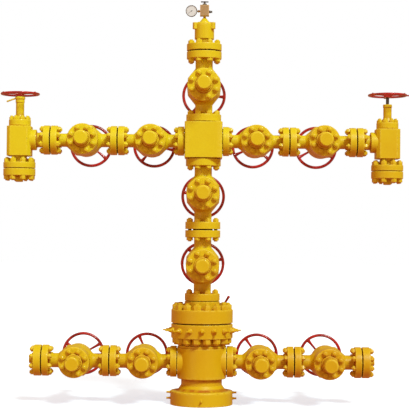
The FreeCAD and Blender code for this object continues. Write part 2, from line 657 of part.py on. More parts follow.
def makeNeedleValve():
    """The small block valve over the cap, with its bleed screw, T-handle and pressure gauge."""
    name = "needle_valve_block"
    middle = blockFoot + " + blockHeight / 2"
    stemBore = "(needleStemDia + 2 * needleStemGap)"
    solid = fused(name + "Solid", [
        block(name + "Square", "blockWidth", "blockDepth", "blockHeight", "-blockWidth / 2",
              "-blockDepth / 2", blockFoot),
        cylinder(name + "Nut", "needleNutDia", "needleNutHeight", z=blockTop),
        cylinder(name + "Bleed", "bleedDia", "bleedLength", "blockWidth / 2", "0",
                 middle + " - bleedDrop", alongX)])
    well = cylinder(name + "Well", stemBore, "needleWell + needleNutHeight + cutMargin",
                    z=blockTop + " - needleWell")
    keep(place(cut(name, solid, well), z=treeTop))
    stem = cylinder("needle_valve_stem", "needleStemDia",
                    "needleWell - needleLift - needleFloor + needleNutHeight + needleStemReach",
                    z=treeTop + " + " + blockTop + " - needleWell + needleLift + needleFloor")
    stem.Label = "needle_valve_stem"
    keep(stem)
    bar = cylinder("needle_valve_handle", "barDia", "barLength", "-barLength / 2", "0",
                   treeTop + " + " + blockTop + " + needleNutHeight + needleStemReach + barDia / 2",
                   alongX)
    bar.Label = "needle_valve_handle"
    keep(bar)
    gauge = newBody("GaugeCase")
    turned(gauge, [("0", "0"), ("gaugeDia / 2", "0"), ("gaugeDia / 2", "gaugeDepth"),
                   ("0", "gaugeDepth")])
    place(gauge, "-gaugeSpan", "gaugeDepth / 2", middle + " - gaugeDrop", alongMinusY)
    stub = cylinder("GaugeStub", "gaugeStemDia", "gaugeSpan - blockWidth / 2 - gaugeStemRoot",
                    "-gaugeSpan + gaugeStemRoot", "0", middle + " - gaugeDrop", alongX)
    keep(place(fused("pressure_gauge", [gauge, stub]), z=treeTop))


# ---------------------------------------------------------------- test valve

def outFromAdapter(obj, reach):
    """Places an object reach away from the column, at the test valve's angle and height."""
    for axis, ratio in (("x", "cos"), ("y", "sin")):
        obj.setExpression("Placement.Base." + axis,
                          cell("(%s) * %s(testAngle)" % (reach, ratio)))
    obj.setExpression("Placement.Base.z", cell("testHeight"))
    return obj


def makeTestValve():
    """A small valve screwed into the adapter's boss at the back right, with a lever."""
    out = FreeCAD.Rotation(FreeCAD.Vector(0, 0, 1), sizes["testAngle"]).multiply(alongX)
    body = newBody("test_valve")
    bore = "(testShaftDia / 2 + testShaftGap)"
    socket = "testBodyLength - testSocket"
    turned(body, [("0", "0"), ("testBodyDia / 2", "0"), ("testBodyDia / 2", "testBodyLength"),
                  (bore, "testBodyLength"), (bore, socket), ("0", socket)])
    body.Placement = FreeCAD.Placement(FreeCAD.Vector(), out)
    keep(outFromAdapter(body, "adapterBossDia / 2"))
    # the lever's own Z is its shaft, and the bar leans up and outwards from it
    shaft = cylinder("LeverShaft", "testShaftDia", "testSocket + testNeck", z="testGap")
    hub = cylinder("LeverHub", "leverHubDia", "leverHubHeight", z="testSocket + testNeck")
    bar = cylinder("LeverBar", "leverDia", "leverLength",
                   z="testSocket + testNeck + leverHubHeight / 2",
                   turn=FreeCAD.Rotation(FreeCAD.Vector(0, 0, 1), sizes["leverTurn"]).multiply(alongX))
    lever = fused("test_valve_lever", [shaft, hub, bar])
    lever.Placement = FreeCAD.Placement(FreeCAD.Vector(), out)
    keep(outFromAdapter(lever, "adapterBossDia / 2 + testBodyLength - testSocket"))


makeBaseRing()
makeHead()
makeLockScrews()
makeRingScrews()
makeAdapter()
makeTestValve()
makeRunValves()
makeCross()
makeWing("upper", -1, (-10, -40))
makeWing("upper", 1, (-36, -30))
makeWing("lower", -1, (114, 30))
makeWing("lower", 1, (125, 130))
for word, side in (("left", -1), ("right", 1)):
    makeChoke(word, side)
    makeEnd(word, side)
chokeLock("-" + chokeX)
makeCap()
makeNeedleValve()

doc.recompute()

# ---------------------------------------------------------------- checks and export

failed = [obj.Name for obj in doc.Objects if {"Invalid", "Error"} & set(obj.State)]
if failed:
    raise RuntimeError("features that failed: " + ", ".join(failed))
for node in nodes:
    if node.Shape.isNull() or not node.Shape.isValid():
        raise RuntimeError("no valid shape: " + node.Label)

os.makedirs("parts", exist_ok=True)
for node in nodes:
    node.Shape.exportStep("parts/%s.step" % node.Label)
print("%d sub-parts" % len(nodes))
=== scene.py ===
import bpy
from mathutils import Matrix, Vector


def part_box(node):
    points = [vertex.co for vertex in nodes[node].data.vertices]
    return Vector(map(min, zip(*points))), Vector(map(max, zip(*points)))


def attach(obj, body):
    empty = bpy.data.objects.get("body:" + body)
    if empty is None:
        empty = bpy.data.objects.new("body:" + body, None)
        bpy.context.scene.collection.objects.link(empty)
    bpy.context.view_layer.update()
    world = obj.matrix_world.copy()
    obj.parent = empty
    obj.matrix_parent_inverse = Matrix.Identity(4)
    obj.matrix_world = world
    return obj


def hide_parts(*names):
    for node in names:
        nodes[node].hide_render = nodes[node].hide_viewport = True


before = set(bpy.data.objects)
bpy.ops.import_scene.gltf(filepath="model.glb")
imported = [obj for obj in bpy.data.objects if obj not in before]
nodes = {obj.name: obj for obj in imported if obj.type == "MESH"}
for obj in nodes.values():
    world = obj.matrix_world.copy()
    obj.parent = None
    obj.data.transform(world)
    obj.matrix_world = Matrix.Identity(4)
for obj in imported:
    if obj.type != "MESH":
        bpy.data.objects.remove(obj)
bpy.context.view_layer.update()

import math

import bmesh
import bpy
import numpy as np
from mathutils import Matrix, Vector

random = np.random.default_rng(7)


# Shader maths: a Signal is one output socket, and Python operators on it add Math nodes.

class Signal:
    def __init__(self, tree, socket):
        self.tree, self.socket = tree, socket

    def node(self, kind, settings=None, values=None, output=0):
        made = self.tree.nodes.new("ShaderNode" + kind)
        for key, value in (settings or {}).items():
            if key == "stops":
                for stop, (place, colour) in zip(made.color_ramp.elements, value):
                    stop.position, stop.color = place, colour
            else:
                setattr(made, key, value)
        for key, value in (values or {}).items():
            socket = next(s for s in made.inputs if key in (s.identifier, s.name))
            if isinstance(value, Signal):
                self.tree.links.new(value.socket, socket)
            else:
                socket.default_value = value
        found = [s for s in made.outputs if output in (s.identifier, s.name)]
        return Signal(self.tree, found[0] if found else made.outputs[output])

    def maths(self, operation, a, b=0.0, clamp=False):
        return self.node("Math", {"operation": operation, "use_clamp": clamp},
                         {"Value": a, "Value_001": b})

    def __add__(self, other):
        return self.maths("ADD", self, other)

    def __radd__(self, other):
        return self.maths("ADD", other, self)

    def __sub__(self, other):
        return self.maths("SUBTRACT", self, other)

    def __rsub__(self, other):
        return self.maths("SUBTRACT", other, self)

    def __mul__(self, other):
        return self.maths("MULTIPLY", self, other)

    def __rmul__(self, other):
        return self.maths("MULTIPLY", other, self)

    def held(self):
        return self.maths("ADD", self, 0.0, clamp=True)

    def ramp(self, low, high):
        # 0 below low, 1 above high, straight between
        return ((self - low) * (1.0 / (high - low))).held()

    def blend(self, a, b):
        # a where this is 0, b where it is 1
        return self.node("Mix", {"data_type": "RGBA", "clamp_factor": True},
                         {"Factor_Float": self, "A_Color": a, "B_Color": b}, "Result_Color")

    def grain(self, scale, detail=3.0, roughness=0.55):
        return self.node("TexNoise", None, {"Vector": self, "Scale": scale, "Detail": detail,
                                            "Roughness": roughness}, "Fac")

    def bump(self, height, distance, strength=1.0, under=None):
        values = {"Height": height, "Distance": distance, "Strength": strength}
        if under is not None:
            values["Normal"] = under
        return self.node("Bump", None, values)


def startMaterial(name, metallic=0.0, coat=0.0, coatRoughness=0.1):
    material = bpy.data.materials.new(name)
    material.use_nodes = True
    tree = material.node_tree
    shader = tree.nodes["Principled BSDF"]
    shader.inputs["Metallic"].default_value = metallic
    shader.inputs["Coat Weight"].default_value = coat
    shader.inputs["Coat Roughness"].default_value = coatRoughness
    coords = Signal(tree, tree.nodes.new("ShaderNodeTexCoord").outputs["Object"])
    edge = coords.node("Attribute", {"attribute_name": "edge"}, None, "Fac")
    return material, coords, edge


def finishMaterial(material, **links):
    shader = material.node_tree.nodes["Principled BSDF"]
    for name, signal in links.items():
        socket = shader.inputs[name.replace("_", " ")]
        if isinstance(signal, Signal):
            material.node_tree.links.new(signal.socket, socket)
        else:
            socket.default_value = signal
    return material


# The undersides colour is painted shade, the hollows colour painted shade mixed with grime, the edge colour
# a painted highlight with rubbed wear.
yellowLook = {"lemon": (0.80, 0.68, 0.012, 1), "amber": (0.66, 0.35, 0.004, 1),
              "hollowShadeAndGrime": (0.46, 0.105, 0.004, 1), "edgeHighlightAndWear": (0.92, 0.74, 0.09, 1),
              "primer": (0.14, 0.06, 0.03, 1), "paintedUnderShade": (0.66, 0.21, 0.003, 1),
              "lowTone": 0.45, "highTone": 2.2, "gloss": 0.30, "peel": 0.00035}


def yellowPaint(name, look, castScale, castDepth):
    # Enamel over steel, amber low down and lemon higher up. Painted light: lemon where it faces the key
    # light.
    # Painted shade: warm and dark underneath and in the hollows, mixed with grime; painted highlight with
    # rubbed wear on the edges, which chip.
    material, coords, edge = startMaterial(name, coat=0.12, coatRoughness=0.10)
    material.node_tree.nodes["Principled BSDF"].inputs["Specular IOR Level"].default_value = 0.32
    facing = coords.node("Attribute", {"attribute_name": "facing"}, None, "Fac")
    height = coords.node("SeparateXYZ", None, {"Vector": coords}, "Z")
    side = coords.node("SeparateXYZ", None, {"Vector": coords}, "X")
    patches = coords.grain(1.7, 2.0).ramp(0.35, 0.68)
    mottle = coords.grain(16.0, 4.0)
    speck = coords.grain(210.0, 2.0)
    # Painted light: lemon where the surface faces the key light (facing). Also amber towards the bottom and
    # towards +X, lemon higher up and towards -X, in random patches.
    toneAndLitSide = (height.ramp(look["lowTone"], look["highTone"]) * 0.52 + side.ramp(1.6, -1.3) * 0.44
            + patches * 0.22 + mottle * 0.16 + facing * 0.22 - 0.16).held()
    colour = toneAndLitSide.blend(look["amber"], look["lemon"])
    # Painted shade: a warm dark colour on surfaces that face down, away from the key light, varied by the
    # mottle.
    paintedUnderShade = (facing * -1.0).ramp(0.10, 0.95) * (0.60 + mottle * 0.6)
    colour = paintedUnderShade.held().blend(colour, look["paintedUnderShade"])
    # Painted shade in hollows and corners, mottled, mixed with small grime specks.
    hollow = (edge * -1.0).held()
    hollowShadeAndGrime = (hollow * mottle.ramp(0.22, 0.55) * 0.90 + speck.ramp(0.66, 0.80) * 0.10).held()
    colour = hollowShadeAndGrime.blend(colour, look["hollowShadeAndGrime"])
    # Lighter along outer edges in patches: a painted highlight together with rubbed wear.
    ridge = edge.held()
    edgeHighlightAndWear = ridge * coords.grain(38.0, 3.0).ramp(0.36, 0.62)
    colour = (edgeHighlightAndWear * 0.45).blend(colour, look["edgeHighlightAndWear"])
    chip = (ridge * coords.grain(85.0, 4.0, 0.65).ramp(0.60, 0.66)).ramp(0.45, 0.75)
    colour = chip.blend(colour, look["primer"])
    roughness = (look["gloss"] + mottle * 0.16 + hollowShadeAndGrime * 0.30 + chip * 0.25 + edgeHighlightAndWear * 0.06).held()
    cast = coords.bump(coords.grain(castScale, 5.0, 0.6), castDepth, 0.5)
    peel = coords.bump(speck, look["peel"], 0.35, cast)
    normal = coords.bump(chip, 0.0004, -0.6, peel)
    return finishMaterial(material, Base_Color=colour, Roughness=roughness, Normal=normal)


redLook = {"bright": (0.52, 0.010, 0.015, 1), "deep": (0.25, 0.006, 0.012, 1),
           "worn": (0.78, 0.10, 0.07, 1), "steel": (0.10, 0.075, 0.06, 1)}


def redEnamel(look):
    # Gloss enamel, darker in soft patches, worn paler where hands rub it, with small chips.
    material, coords, edge = startMaterial("redEnamel", coat=0.4, coatRoughness=0.08)
    patches = coords.grain(9.0, 3.0)
    fine = coords.grain(120.0, 3.0)
    colour = patches.ramp(0.32, 0.66).blend(look["deep"], look["bright"])
    worn = (coords.grain(24.0, 4.0).ramp(0.56, 0.74) * 0.5 + edge.held() * 0.4).held()
    colour = worn.blend(colour, look["worn"])
    chip = coords.grain(60.0, 5.0, 0.7).ramp(0.70, 0.72)
    colour = chip.blend(colour, look["steel"])
    roughness = (0.20 + patches * 0.18 + worn * 0.12 + chip * 0.3).held()
    normal = coords.bump(chip, 0.0005, -0.6, coords.bump(fine, 0.0005, 0.35))
    return finishMaterial(material, Base_Color=colour, Roughness=roughness, Normal=normal)


def bareMetal(name, light, dark, metallic, gloss, streakScale):
    # Machined metal: fine turning lines round the piece, oil stains and a little rust.
    material, coords, edge = startMaterial(name, metallic=metallic)
    stretched = coords.node("Mapping", None, {"Vector": coords, "Scale": (14.0, 14.0, streakScale)})
    lines = stretched.grain(6.0, 4.0)
    stain = coords.grain(40.0, 4.0)
    colour = (lines * 0.6 + stain * 0.5).held().blend(dark, light)
    colour = (edge.held() * 0.5).blend(colour, tuple(min(1.0, c * 1.7) for c in light[:3]) + (1,))
    roughness = (gloss + stain * 0.25 + lines * 0.1).held()
    normal = coords.bump(lines, 0.0004, 0.4)
    return finishMaterial(material, Base_Color=colour, Roughness=roughness, Normal=normal)


def plainFinish(name, grain, low, high, gloss, bump, **start):
    # One colour flecked with another, its roughness and bump following the flecks.
    material, coords, edge = startMaterial(name, **start)
    fleck = coords.grain(*grain)
    return finishMaterial(material, Base_Color=fleck.blend(low, high), Roughness=gloss[0] + fleck * gloss[1],
                          Normal=coords.bump(fleck, *bump))


smoothYellow = yellowPaint("yellowMachined", yellowLook, 70.0, 0.0006)
castYellow = yellowPaint("yellowCast", yellowLook, 34.0, 0.0022)
red = redEnamel(redLook)
darkSteel = bareMetal("darkSteel", (0.16, 0.14, 0.12, 1), (0.03, 0.026, 0.022, 1), 0.9, 0.28, 900.0)
bronze = bareMetal("dullBronze", (0.62, 0.45, 0.26, 1), (0.34, 0.22, 0.11, 1), 0.75, 0.38, 500.0)
dialWhite = plainFinish("dialFace", (90.0, 3.0), (0.80, 0.88, 1.0, 1), (0.74, 0.82, 0.96, 1),
                        (0.18, 0.08), (0.0002, 0.2), coat=0.6, coatRoughness=0.03)
ink = plainFinish("inkBlack", (300.0, 2.0), (0.015, 0.015, 0.016, 1), (0.05, 0.05, 0.05, 1),
                  (0.3, 0.2), (0.0001, 0.2), coat=0.3)
gasket = plainFinish("ringGasket", (120.0, 4.0), (0.020, 0.014, 0.010, 1), (0.075, 0.045, 0.022, 1),
                     (0.5, 0.3), (0.0005, 0.5), metallic=0.6)
print("materials made")


# Shapes: a shell is (points, quads, edge), where edge is 1 on outer corners and -1 in hollows.

def softened(outline, closed=False):
    # Each corner (radius, height, rounding) becomes a parabola arc: corner + a*(1-s)^2 + b*s^2, where
    # a and b run back and ahead along its two lines by the rounding, with one more row each side.
    rows = np.array(outline, float)
    spot, give = rows[:, :2], rows[:, 2].copy()
    back, ahead = np.roll(spot, 1, 0) - spot, np.roll(spot, -1, 0) - spot
    if not closed:
        give[0] = give[-1] = 0.0
    backLong = np.maximum(np.hypot(back[:, 0], back[:, 1]), 1e-9)
    aheadLong = np.maximum(np.hypot(ahead[:, 0], ahead[:, 1]), 1e-9)
    a, b = back / backLong[:, None], ahead / aheadLong[:, None]
    bend = a[:, 1] * b[:, 0] - a[:, 0] * b[:, 1]
    reach = np.minimum(give, 0.45 * np.minimum(backLong, aheadLong))
    wideBack = np.where(reach > 0, np.minimum(3 * reach + 0.002, 0.49 * backLong), 0)
    wideAhead = np.where(reach > 0, np.minimum(3 * reach + 0.002, 0.49 * aheadLong), 0)
    s = np.array([0, 0.25, 0.5, 0.75, 1])[None, :, None]
    curve = (spot[:, None] + a[:, None] * reach[:, None, None] * (1 - s) ** 2
             + b[:, None] * reach[:, None, None] * s ** 2)
    before = spot + a * wideBack[:, None]
    after = spot + b * wideAhead[:, None]
    path = np.concatenate([before[:, None], curve, after[:, None]], 1).reshape(-1, 2)
    shape = np.array([0, 0.7, 0.95, 1, 0.95, 0.7, 0])
    strength = np.where(reach > 0, np.clip(bend * 1.3, -1, 1), 0)
    return path, (strength[:, None] * shape).reshape(-1)


def grid(points, edge, closedAlong=False, closedAcross=True):
    # Quads between neighbouring rows and columns of a grid of points.
    rows, columns = points.shape[:2]
    index = np.arange(rows * columns).reshape(rows, columns)
    beside, above = np.roll(index, -1, 1), np.roll(index, -1, 0)
    quads = np.stack([index, beside, np.roll(above, -1, 1), above], -1)
    quads = quads[:rows if closedAlong else rows - 1, :columns if closedAcross else columns - 1]
    return points.reshape(-1, 3), quads.reshape(-1, 4), np.broadcast_to(edge, (rows, columns)).reshape(-1)


def revolved(path, edge, across, closed=False, widen=None):
    # x = r cos t, y = r sin t, z = h for each (r, h) of the path; widen may change r by angle.
    t = np.linspace(0, 2 * np.pi, across, endpoint=False)
    radius = path[:, :1] * np.ones(across)
    height = path[:, 1:] * np.ones(across)
    if widen is not None:
        radius = widen(radius, height, t)
    return grid(np.stack([radius * np.cos(t), radius * np.sin(t), height], -1), edge[:, None], closed)


def turned(outline, across=96, closed=False, widen=None):
    path, edge = softened(outline, closed)
    return revolved(path, edge, across, closed, widen)


def rod(radius, low, high, across=32, foot=0, top=0):
    # A plain round bar from low to high, with its foot and top corners rounded.
    return turned([(0, low, 0), (radius, low, foot), (radius, high, top), (0, high, 0)], across)


def oblong(wide, deep, rounding):
    return [(-wide, -deep, rounding), (wide, -deep, rounding), (wide, deep, rounding),
            (-wide, deep, rounding)]


def carried(section, profile):
    # A closed outline in plan, (x, y, rounding) by corner, carried up a profile of (outset, height,
    # rounding): point = outline + outward normal * outset, closed to the middle at both ends.
    path, side = softened(section, closed=True)
    kept = np.hypot(*(path - np.roll(path, 1, 0)).T) > 1e-7
    path, side = path[kept], side[kept]
    along = np.roll(path, -1, 0) - np.roll(path, 1, 0)
    normal = np.stack([along[:, 1], -along[:, 0]], -1) / np.hypot(*along.T)[:, None]
    rise, edge = softened(profile)
    plan = path[None] + normal[None] * rise[:, :1, None]
    points = np.concatenate([plan, np.broadcast_to(rise[:, None, 1:], plan.shape[:2] + (1,))], -1)
    middle = path.mean(0)
    foot = np.concatenate([np.broadcast_to(middle, path.shape), np.full((len(path), 1), rise[0, 1])], -1)
    top = np.concatenate([np.broadcast_to(middle, path.shape), np.full((len(path), 1), rise[-1, 1])], -1)
    points = np.concatenate([foot[None], points, top[None]])
    # Edge value: positive on outer corners, negative in hollows; the yellow paint turns it into painted
    # shade in the hollows and a painted highlight on the corners, besides grime and wear.
    worn = np.maximum(np.abs(edge[:, None]), np.abs(side[None, :])) * np.sign(edge[:, None] + side[None, :])
    worn = np.concatenate([np.zeros((1, len(path))), worn, np.zeros((1, len(path)))])
    return grid(points, worn)


def tube(points, radius, across=20, edge=0.0):
    # A round section carried along a path of points, with round ends; radius may change by point.
    points = np.array(points, float)
    radius = np.broadcast_to(np.asarray(radius, float), len(points))
    along = np.gradient(points, axis=0)
    along /= np.linalg.norm(along, axis=1)[:, None]
    helper = np.array([0, 0, 1.0]) if abs(along[0, 2]) < 0.9 else np.array([0, 1.0, 0])
    side = np.cross(helper, along)
    side /= np.linalg.norm(side, axis=1)[:, None]
    up = np.cross(along, side)
    roll = np.linspace(0, np.pi / 2, 5)[1:]
    first = (points[:1] - along[:1] * radius[0] * np.sin(roll)[::-1, None], radius[0] * np.cos(roll)[::-1])
    last = (points[-1:] + along[-1:] * radius[-1] * np.sin(roll)[:, None], radius[-1] * np.cos(roll))
    spots = np.concatenate([first[0], points, last[0]])
    radii = np.concatenate([first[1], radius, last[1]])
    ends = len(roll)
    side = np.concatenate([np.repeat(side[:1], ends, 0), side, np.repeat(side[-1:], ends, 0)])
    up = np.concatenate([np.repeat(up[:1], ends, 0), up, np.repeat(up[-1:], ends, 0)])
    t = np.linspace(0, 2 * np.pi, across, endpoint=False)
    ring = side[:, None] * np.cos(t)[None, :, None] + up[:, None] * np.sin(t)[None, :, None]
    return grid(spots[:, None] + ring * radii[:, None, None], np.full((1, 1), edge))


def turnMatrix(axis, degrees):
    return np.array(Matrix.Rotation(math.radians(degrees), 3, axis))


aims = {"z": np.eye(3), "-z": turnMatrix("X", 180), "x": turnMatrix("Y", 90),
        "-x": turnMatrix("Y", -90), "y": turnMatrix("X", -90), "-y": turnMatrix("X", 90)}


def placed(shell, at=(0, 0, 0), aim="z", spin=0.0):
    # Turns a shell made along +Z by spin about its own axis, points it along aim and moves it.
    points, quads, edge = shell
    turn = (aims[aim] if isinstance(aim, str) else aim) @ turnMatrix("Z", spin)
    return points @ turn.T + np.asarray(at, float), quads, edge


def joined(shells):
    counts = np.cumsum([0] + [len(s[0]) for s in shells])
    return (np.concatenate([s[0] for s in shells]),
            np.concatenate([s[1] + n for s, n in zip(shells, counts)]),
            np.concatenate([s[2] for s in shells]))


def ringOf(shell, count, radius, first=0.0, loose=0.5):
    # Copies of a shell round +Z, each turned about its own axis by up to loose (radians).
    points, quads, edge = shell
    angle = np.radians(first) + 2 * np.pi * np.arange(count) / count
    spin = angle + random.uniform(-loose, loose, count)
    x = np.outer(np.cos(spin), points[:, 0]) - np.outer(np.sin(spin), points[:, 1])
    y = np.outer(np.sin(spin), points[:, 0]) + np.outer(np.cos(spin), points[:, 1])
    x, y = x + radius * np.cos(angle)[:, None], y + radius * np.sin(angle)[:, None]
    z = np.broadcast_to(points[:, 2], x.shape)
    every = quads[None] + (np.arange(count) * len(points))[:, None, None]
    return np.stack([x, y, z], -1).reshape(-1, 3), every.reshape(-1, 4), np.tile(edge, count)


def sixFlats(inner, t):
    return inner / np.cos((t + np.pi / 6) % (np.pi / 3) - np.pi / 6)


def nut(flats, tall, stud, stickOut, across=12):
    # A chamfered hex nut standing on z = 0 with the end of its stud: r = flats/2 / cos(angle from the
    # nearest flat's middle), no wider than the row.
    wide = flats / 2 / math.cos(math.pi / 6)
    rows = np.array([(wide * 0.96, 0), (wide, 0.06 * tall), (wide, 0.86 * tall), (wide * 0.90, tall),
                     (stud / 2, tall), (stud / 2, tall + stickOut * 0.75),
                     (stud / 2 * 0.8, tall + stickOut), (0, tall + stickOut)])
    # Edge value: negative at the stud's foot, where the yellow paint lays painted shade; positive on the
    # chamfers.
    edge = np.array([0, 0.3, 0.8, 0.5, -0.25, 0.4, 0.6, 0])
    t = np.linspace(0, 2 * np.pi, across, endpoint=False)
    radius = np.minimum(rows[:, :1], sixFlats(flats / 2, t))
    radius[4:] = rows[4:, :1]
    height = rows[:, 1:] * np.ones(across)
    return grid(np.stack([radius * np.cos(t), radius * np.sin(t), height], -1), edge[:, None])


keyLightSide = (0.40, -0.10, 0.91)  # the side the key light falls on: painted light on surfaces facing it, painted shade on those facing away


def build(name, shells, material, body="tree", replaces=()):
    points, quads, edge = joined(shells if isinstance(shells, list) else [shells])
    mesh = bpy.data.meshes.new(name)
    mesh.vertices.add(len(points))
    mesh.vertices.foreach_set("co", points.astype(np.float32).ravel())
    mesh.loops.add(quads.size)
    mesh.loops.foreach_set("vertex_index", quads.astype(np.int32).ravel())
    mesh.polygons.add(len(quads))
    mesh.polygons.foreach_set("loop_start", np.arange(0, quads.size, 4, dtype=np.int32))
    mesh.update(calc_edges=True)
    mesh.attributes.new("edge", "FLOAT", "POINT").data.foreach_set("value", edge.astype(np.float32))
    shape = bmesh.new()
    shape.from_mesh(mesh)
    bmesh.ops.remove_doubles(shape, verts=shape.verts, dist=2e-6)
    shape.to_mesh(mesh)
    shape.free()
    normals = np.empty(len(mesh.vertices) * 3, np.float32)
    mesh.vertices.foreach_get("normal", normals)
    # How far each point faces the key light, read by the yellow paint for its painted light and painted
    # shade.
    facing = normals.reshape(-1, 3) @ np.array(keyLightSide, np.float32)
    mesh.attributes.new("facing", "FLOAT", "POINT").data.foreach_set("value", facing)
    mesh.shade_smooth()
    mesh.set_sharp_from_angle(angle=math.radians(38))
    mesh.materials.append(material)
    piece = bpy.data.objects.new(name, mesh)
    bpy.context.scene.collection.objects.link(piece)
    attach(piece, body)
    if replaces:
        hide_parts(*([replaces] if isinstance(replaces, str) else replaces))
    return piece


def spanOf(node):
    low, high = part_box(node)
    return np.array(low), np.array(high)


def middleOf(node):
    low, high = spanOf(node)
    return (low + high) / 2


# Casing head with its base ring, screws, outlets and studs

head = {"ringRadius": 0.255, "ringTop": 0.118, "neckRadius": 0.167, "bodyFoot": 0.212,
        "bodyRadius": 0.1995, "hubFoot": 0.462, "stepTop": 0.482, "hubRadius": 0.182,
        "flangeFoot": 0.544, "flangeRadius": 0.2525, "faceRadius": 0.1525,
        "boreRadius": 0.123, "boreTop": 0.256, "bowlRadius": 0.090, "outletRadius": 0.127,
        "outletFrom": 0.10, "outletTo": 0.2,
        "studCircle": 0.2143, "studCount": 16, "nutFlats": 0.060, "nutTall": 0.040, "stud": 0.038,
        "stickOut": 0.014}
lockScrew = {"count": 16, "height": 0.607, "foot": 0.250, "collar": 0.0235, "collarEnd": 0.264,
             "cone": 0.0195, "coneFoot": 0.2665, "coneTip": 0.0100, "coneEnd": 0.2860,
             "point": 0.0062, "pointFrom": 0.2990, "tip": 0.320}
baseScrew = {"foot": 0.250, "collar": 0.0105, "collarEnd": 0.264, "head": 0.0080, "tip": 0.287,
             "places": ((0.098, 0), (0.098, 180), (0.050, 0), (0.050, 90), (0.050, 180), (0.050, 270))}

headTop = spanOf("casing_head")[1][2]
flangeTop = headTop - 0.005

baseRing = turned([(head["neckRadius"] + 0.0005, 0.0, 0), (head["ringRadius"], 0.0, 0.006),
                   (head["ringRadius"], head["ringTop"] - 0.005, 0.007),
                   (head["neckRadius"] + 0.030, head["ringTop"], 0.020),
                   (head["neckRadius"] + 0.0015, head["ringTop"] + 0.042, 0.008),
                   (head["neckRadius"] + 0.0005, head["ringTop"] + 0.042, 0)], 128, closed=True)
build("baseRing", baseRing, castYellow, replaces="base_ring")

headBody = turned([(head["boreRadius"], 0.0005, 0.002), (head["neckRadius"], 0.0005, 0),
                   (head["neckRadius"], head["bodyFoot"], 0.010),
                   (head["bodyRadius"], head["bodyFoot"], 0.009),
                   (head["bodyRadius"], head["hubFoot"], 0.004),
                   (head["bodyRadius"] - 0.006, head["hubFoot"], 0.002),
                   (head["bodyRadius"] - 0.006, head["stepTop"], 0.003),
                   (head["hubRadius"], head["stepTop"], 0.003),
                   (head["hubRadius"], head["flangeFoot"], 0.012),
                   (head["flangeRadius"], head["flangeFoot"], 0.005),
                   (head["flangeRadius"], flangeTop, 0.004),
                   (head["faceRadius"], flangeTop, 0.001),
                   (head["faceRadius"], headTop, 0), (head["bowlRadius"], headTop, 0),
                   (head["bowlRadius"], head["boreTop"] + 0.02, 0),
                   (head["boreRadius"], head["boreTop"], 0)], 144, closed=True)
outletPad = rod(head["outletRadius"], head["outletFrom"], head["outletTo"], 96, top=0.004)
outletHeight = middleOf("lower_left_inner_body")[2]
pads = [placed(outletPad, (0, 0, outletHeight), aim) for aim in ("x", "-x")]
build("casingHead", [headBody] + pads, castYellow, replaces="casing_head")

s = lockScrew
gland = turned([(0, s["foot"], 0), (s["collar"], s["foot"], 0), (s["collar"], s["collarEnd"], 0.002),
                (s["cone"], s["coneFoot"], 0.001), (s["coneTip"], s["coneEnd"], 0.003),
                (s["point"], s["pointFrom"], 0.002), (s["point"], s["tip"], 0.0015),
                (0, s["tip"], 0)], 24)
screws = [placed(gland, (0, 0, s["height"]), turnMatrix("Z", 360 / s["count"] * i) @ aims["x"])
          for i in range(s["count"])]
build("headLockScrews", screws, smoothYellow, replaces="head_lock_screws")

s = baseScrew
ringScrew = turned([(0, s["foot"], 0), (s["collar"], s["foot"], 0), (s["collar"], s["collarEnd"], 0.0015),
                    (s["head"], s["collarEnd"], 0.001), (s["head"], s["tip"], 0.0025),
                    (0, s["tip"], 0)], 16,
                   widen=lambda r, h, t: r * np.where((h > 0.27) & (r > 0.005),
                                                     0.94 + 0.06 * np.cos(4 * t), 1))
ringScrews = [placed(ringScrew, (0, 0, z), turnMatrix("Z", turn) @ aims["x"])
              for z, turn in s["places"]]
build("baseLockScrews", ringScrews, smoothYellow, replaces="base_lock_screws")

adapterLow, adapterHigh = spanOf("tubing_adapter")
adapter = {"raise": 0.005, "thick": 0.109, "boss": 0.1445}
adapterFoot = adapterLow[2] + adapter["raise"]
adapterTop = adapterFoot + adapter["thick"]
adapterShell = turned([(0, adapterLow[2], 0), (head["faceRadius"], adapterLow[2], 0),
                       (head["faceRadius"], adapterFoot, 0.001),
                       (head["flangeRadius"], adapterFoot, 0.004),
                       (head["flangeRadius"], adapterTop, 0.005), (adapter["boss"], adapterTop, 0.008),
                       (adapter["boss"], adapterHigh[2], 0.003), (0, adapterHigh[2], 0)], 144)
build("tubingAdapter", adapterShell, castYellow, replaces="tubing_adapter")

bigNut = nut(head["nutFlats"], head["nutTall"], head["stud"], head["stickOut"])
bigNuts = ringOf(bigNut, head["studCount"], head["studCircle"], 11.25, loose=0.1)
build("headStuds", [placed(bigNuts, (0, 0, adapterTop)),
                    placed(bigNuts, (0, 0, head["flangeFoot"]), "-z")], smoothYellow)
print("casing head made")


# Gate valves

runKind = {"flange": 0.1435, "thick": 0.064, "face": 0.077, "neck": 0.071, "shoulder": 0.133,
           "taperFrom": 0.150, "taperTo": 0.072, "bonnet": 0.1335, "wheel": 0.191,
           "studCircle": 0.1155, "nutFlats": 0.045, "nutTall": 0.024, "stud": 0.029}
upperKind = {"flange": 0.120, "thick": 0.057, "face": 0.065, "neck": 0.055, "shoulder": 0.125,
             "taperFrom": 0.143, "taperTo": 0.065, "bonnet": 0.125, "wheel": 0.185,
             "studCircle": 0.096, "nutFlats": 0.041, "nutTall": 0.023, "stud": 0.0255}
lowerKind = dict(upperKind, flange=0.127, neck=0.059, studCircle=0.101)
raised, barrelHalf, fillet, flangeStickOut = 0.005, 0.150, 0.012, 0.009

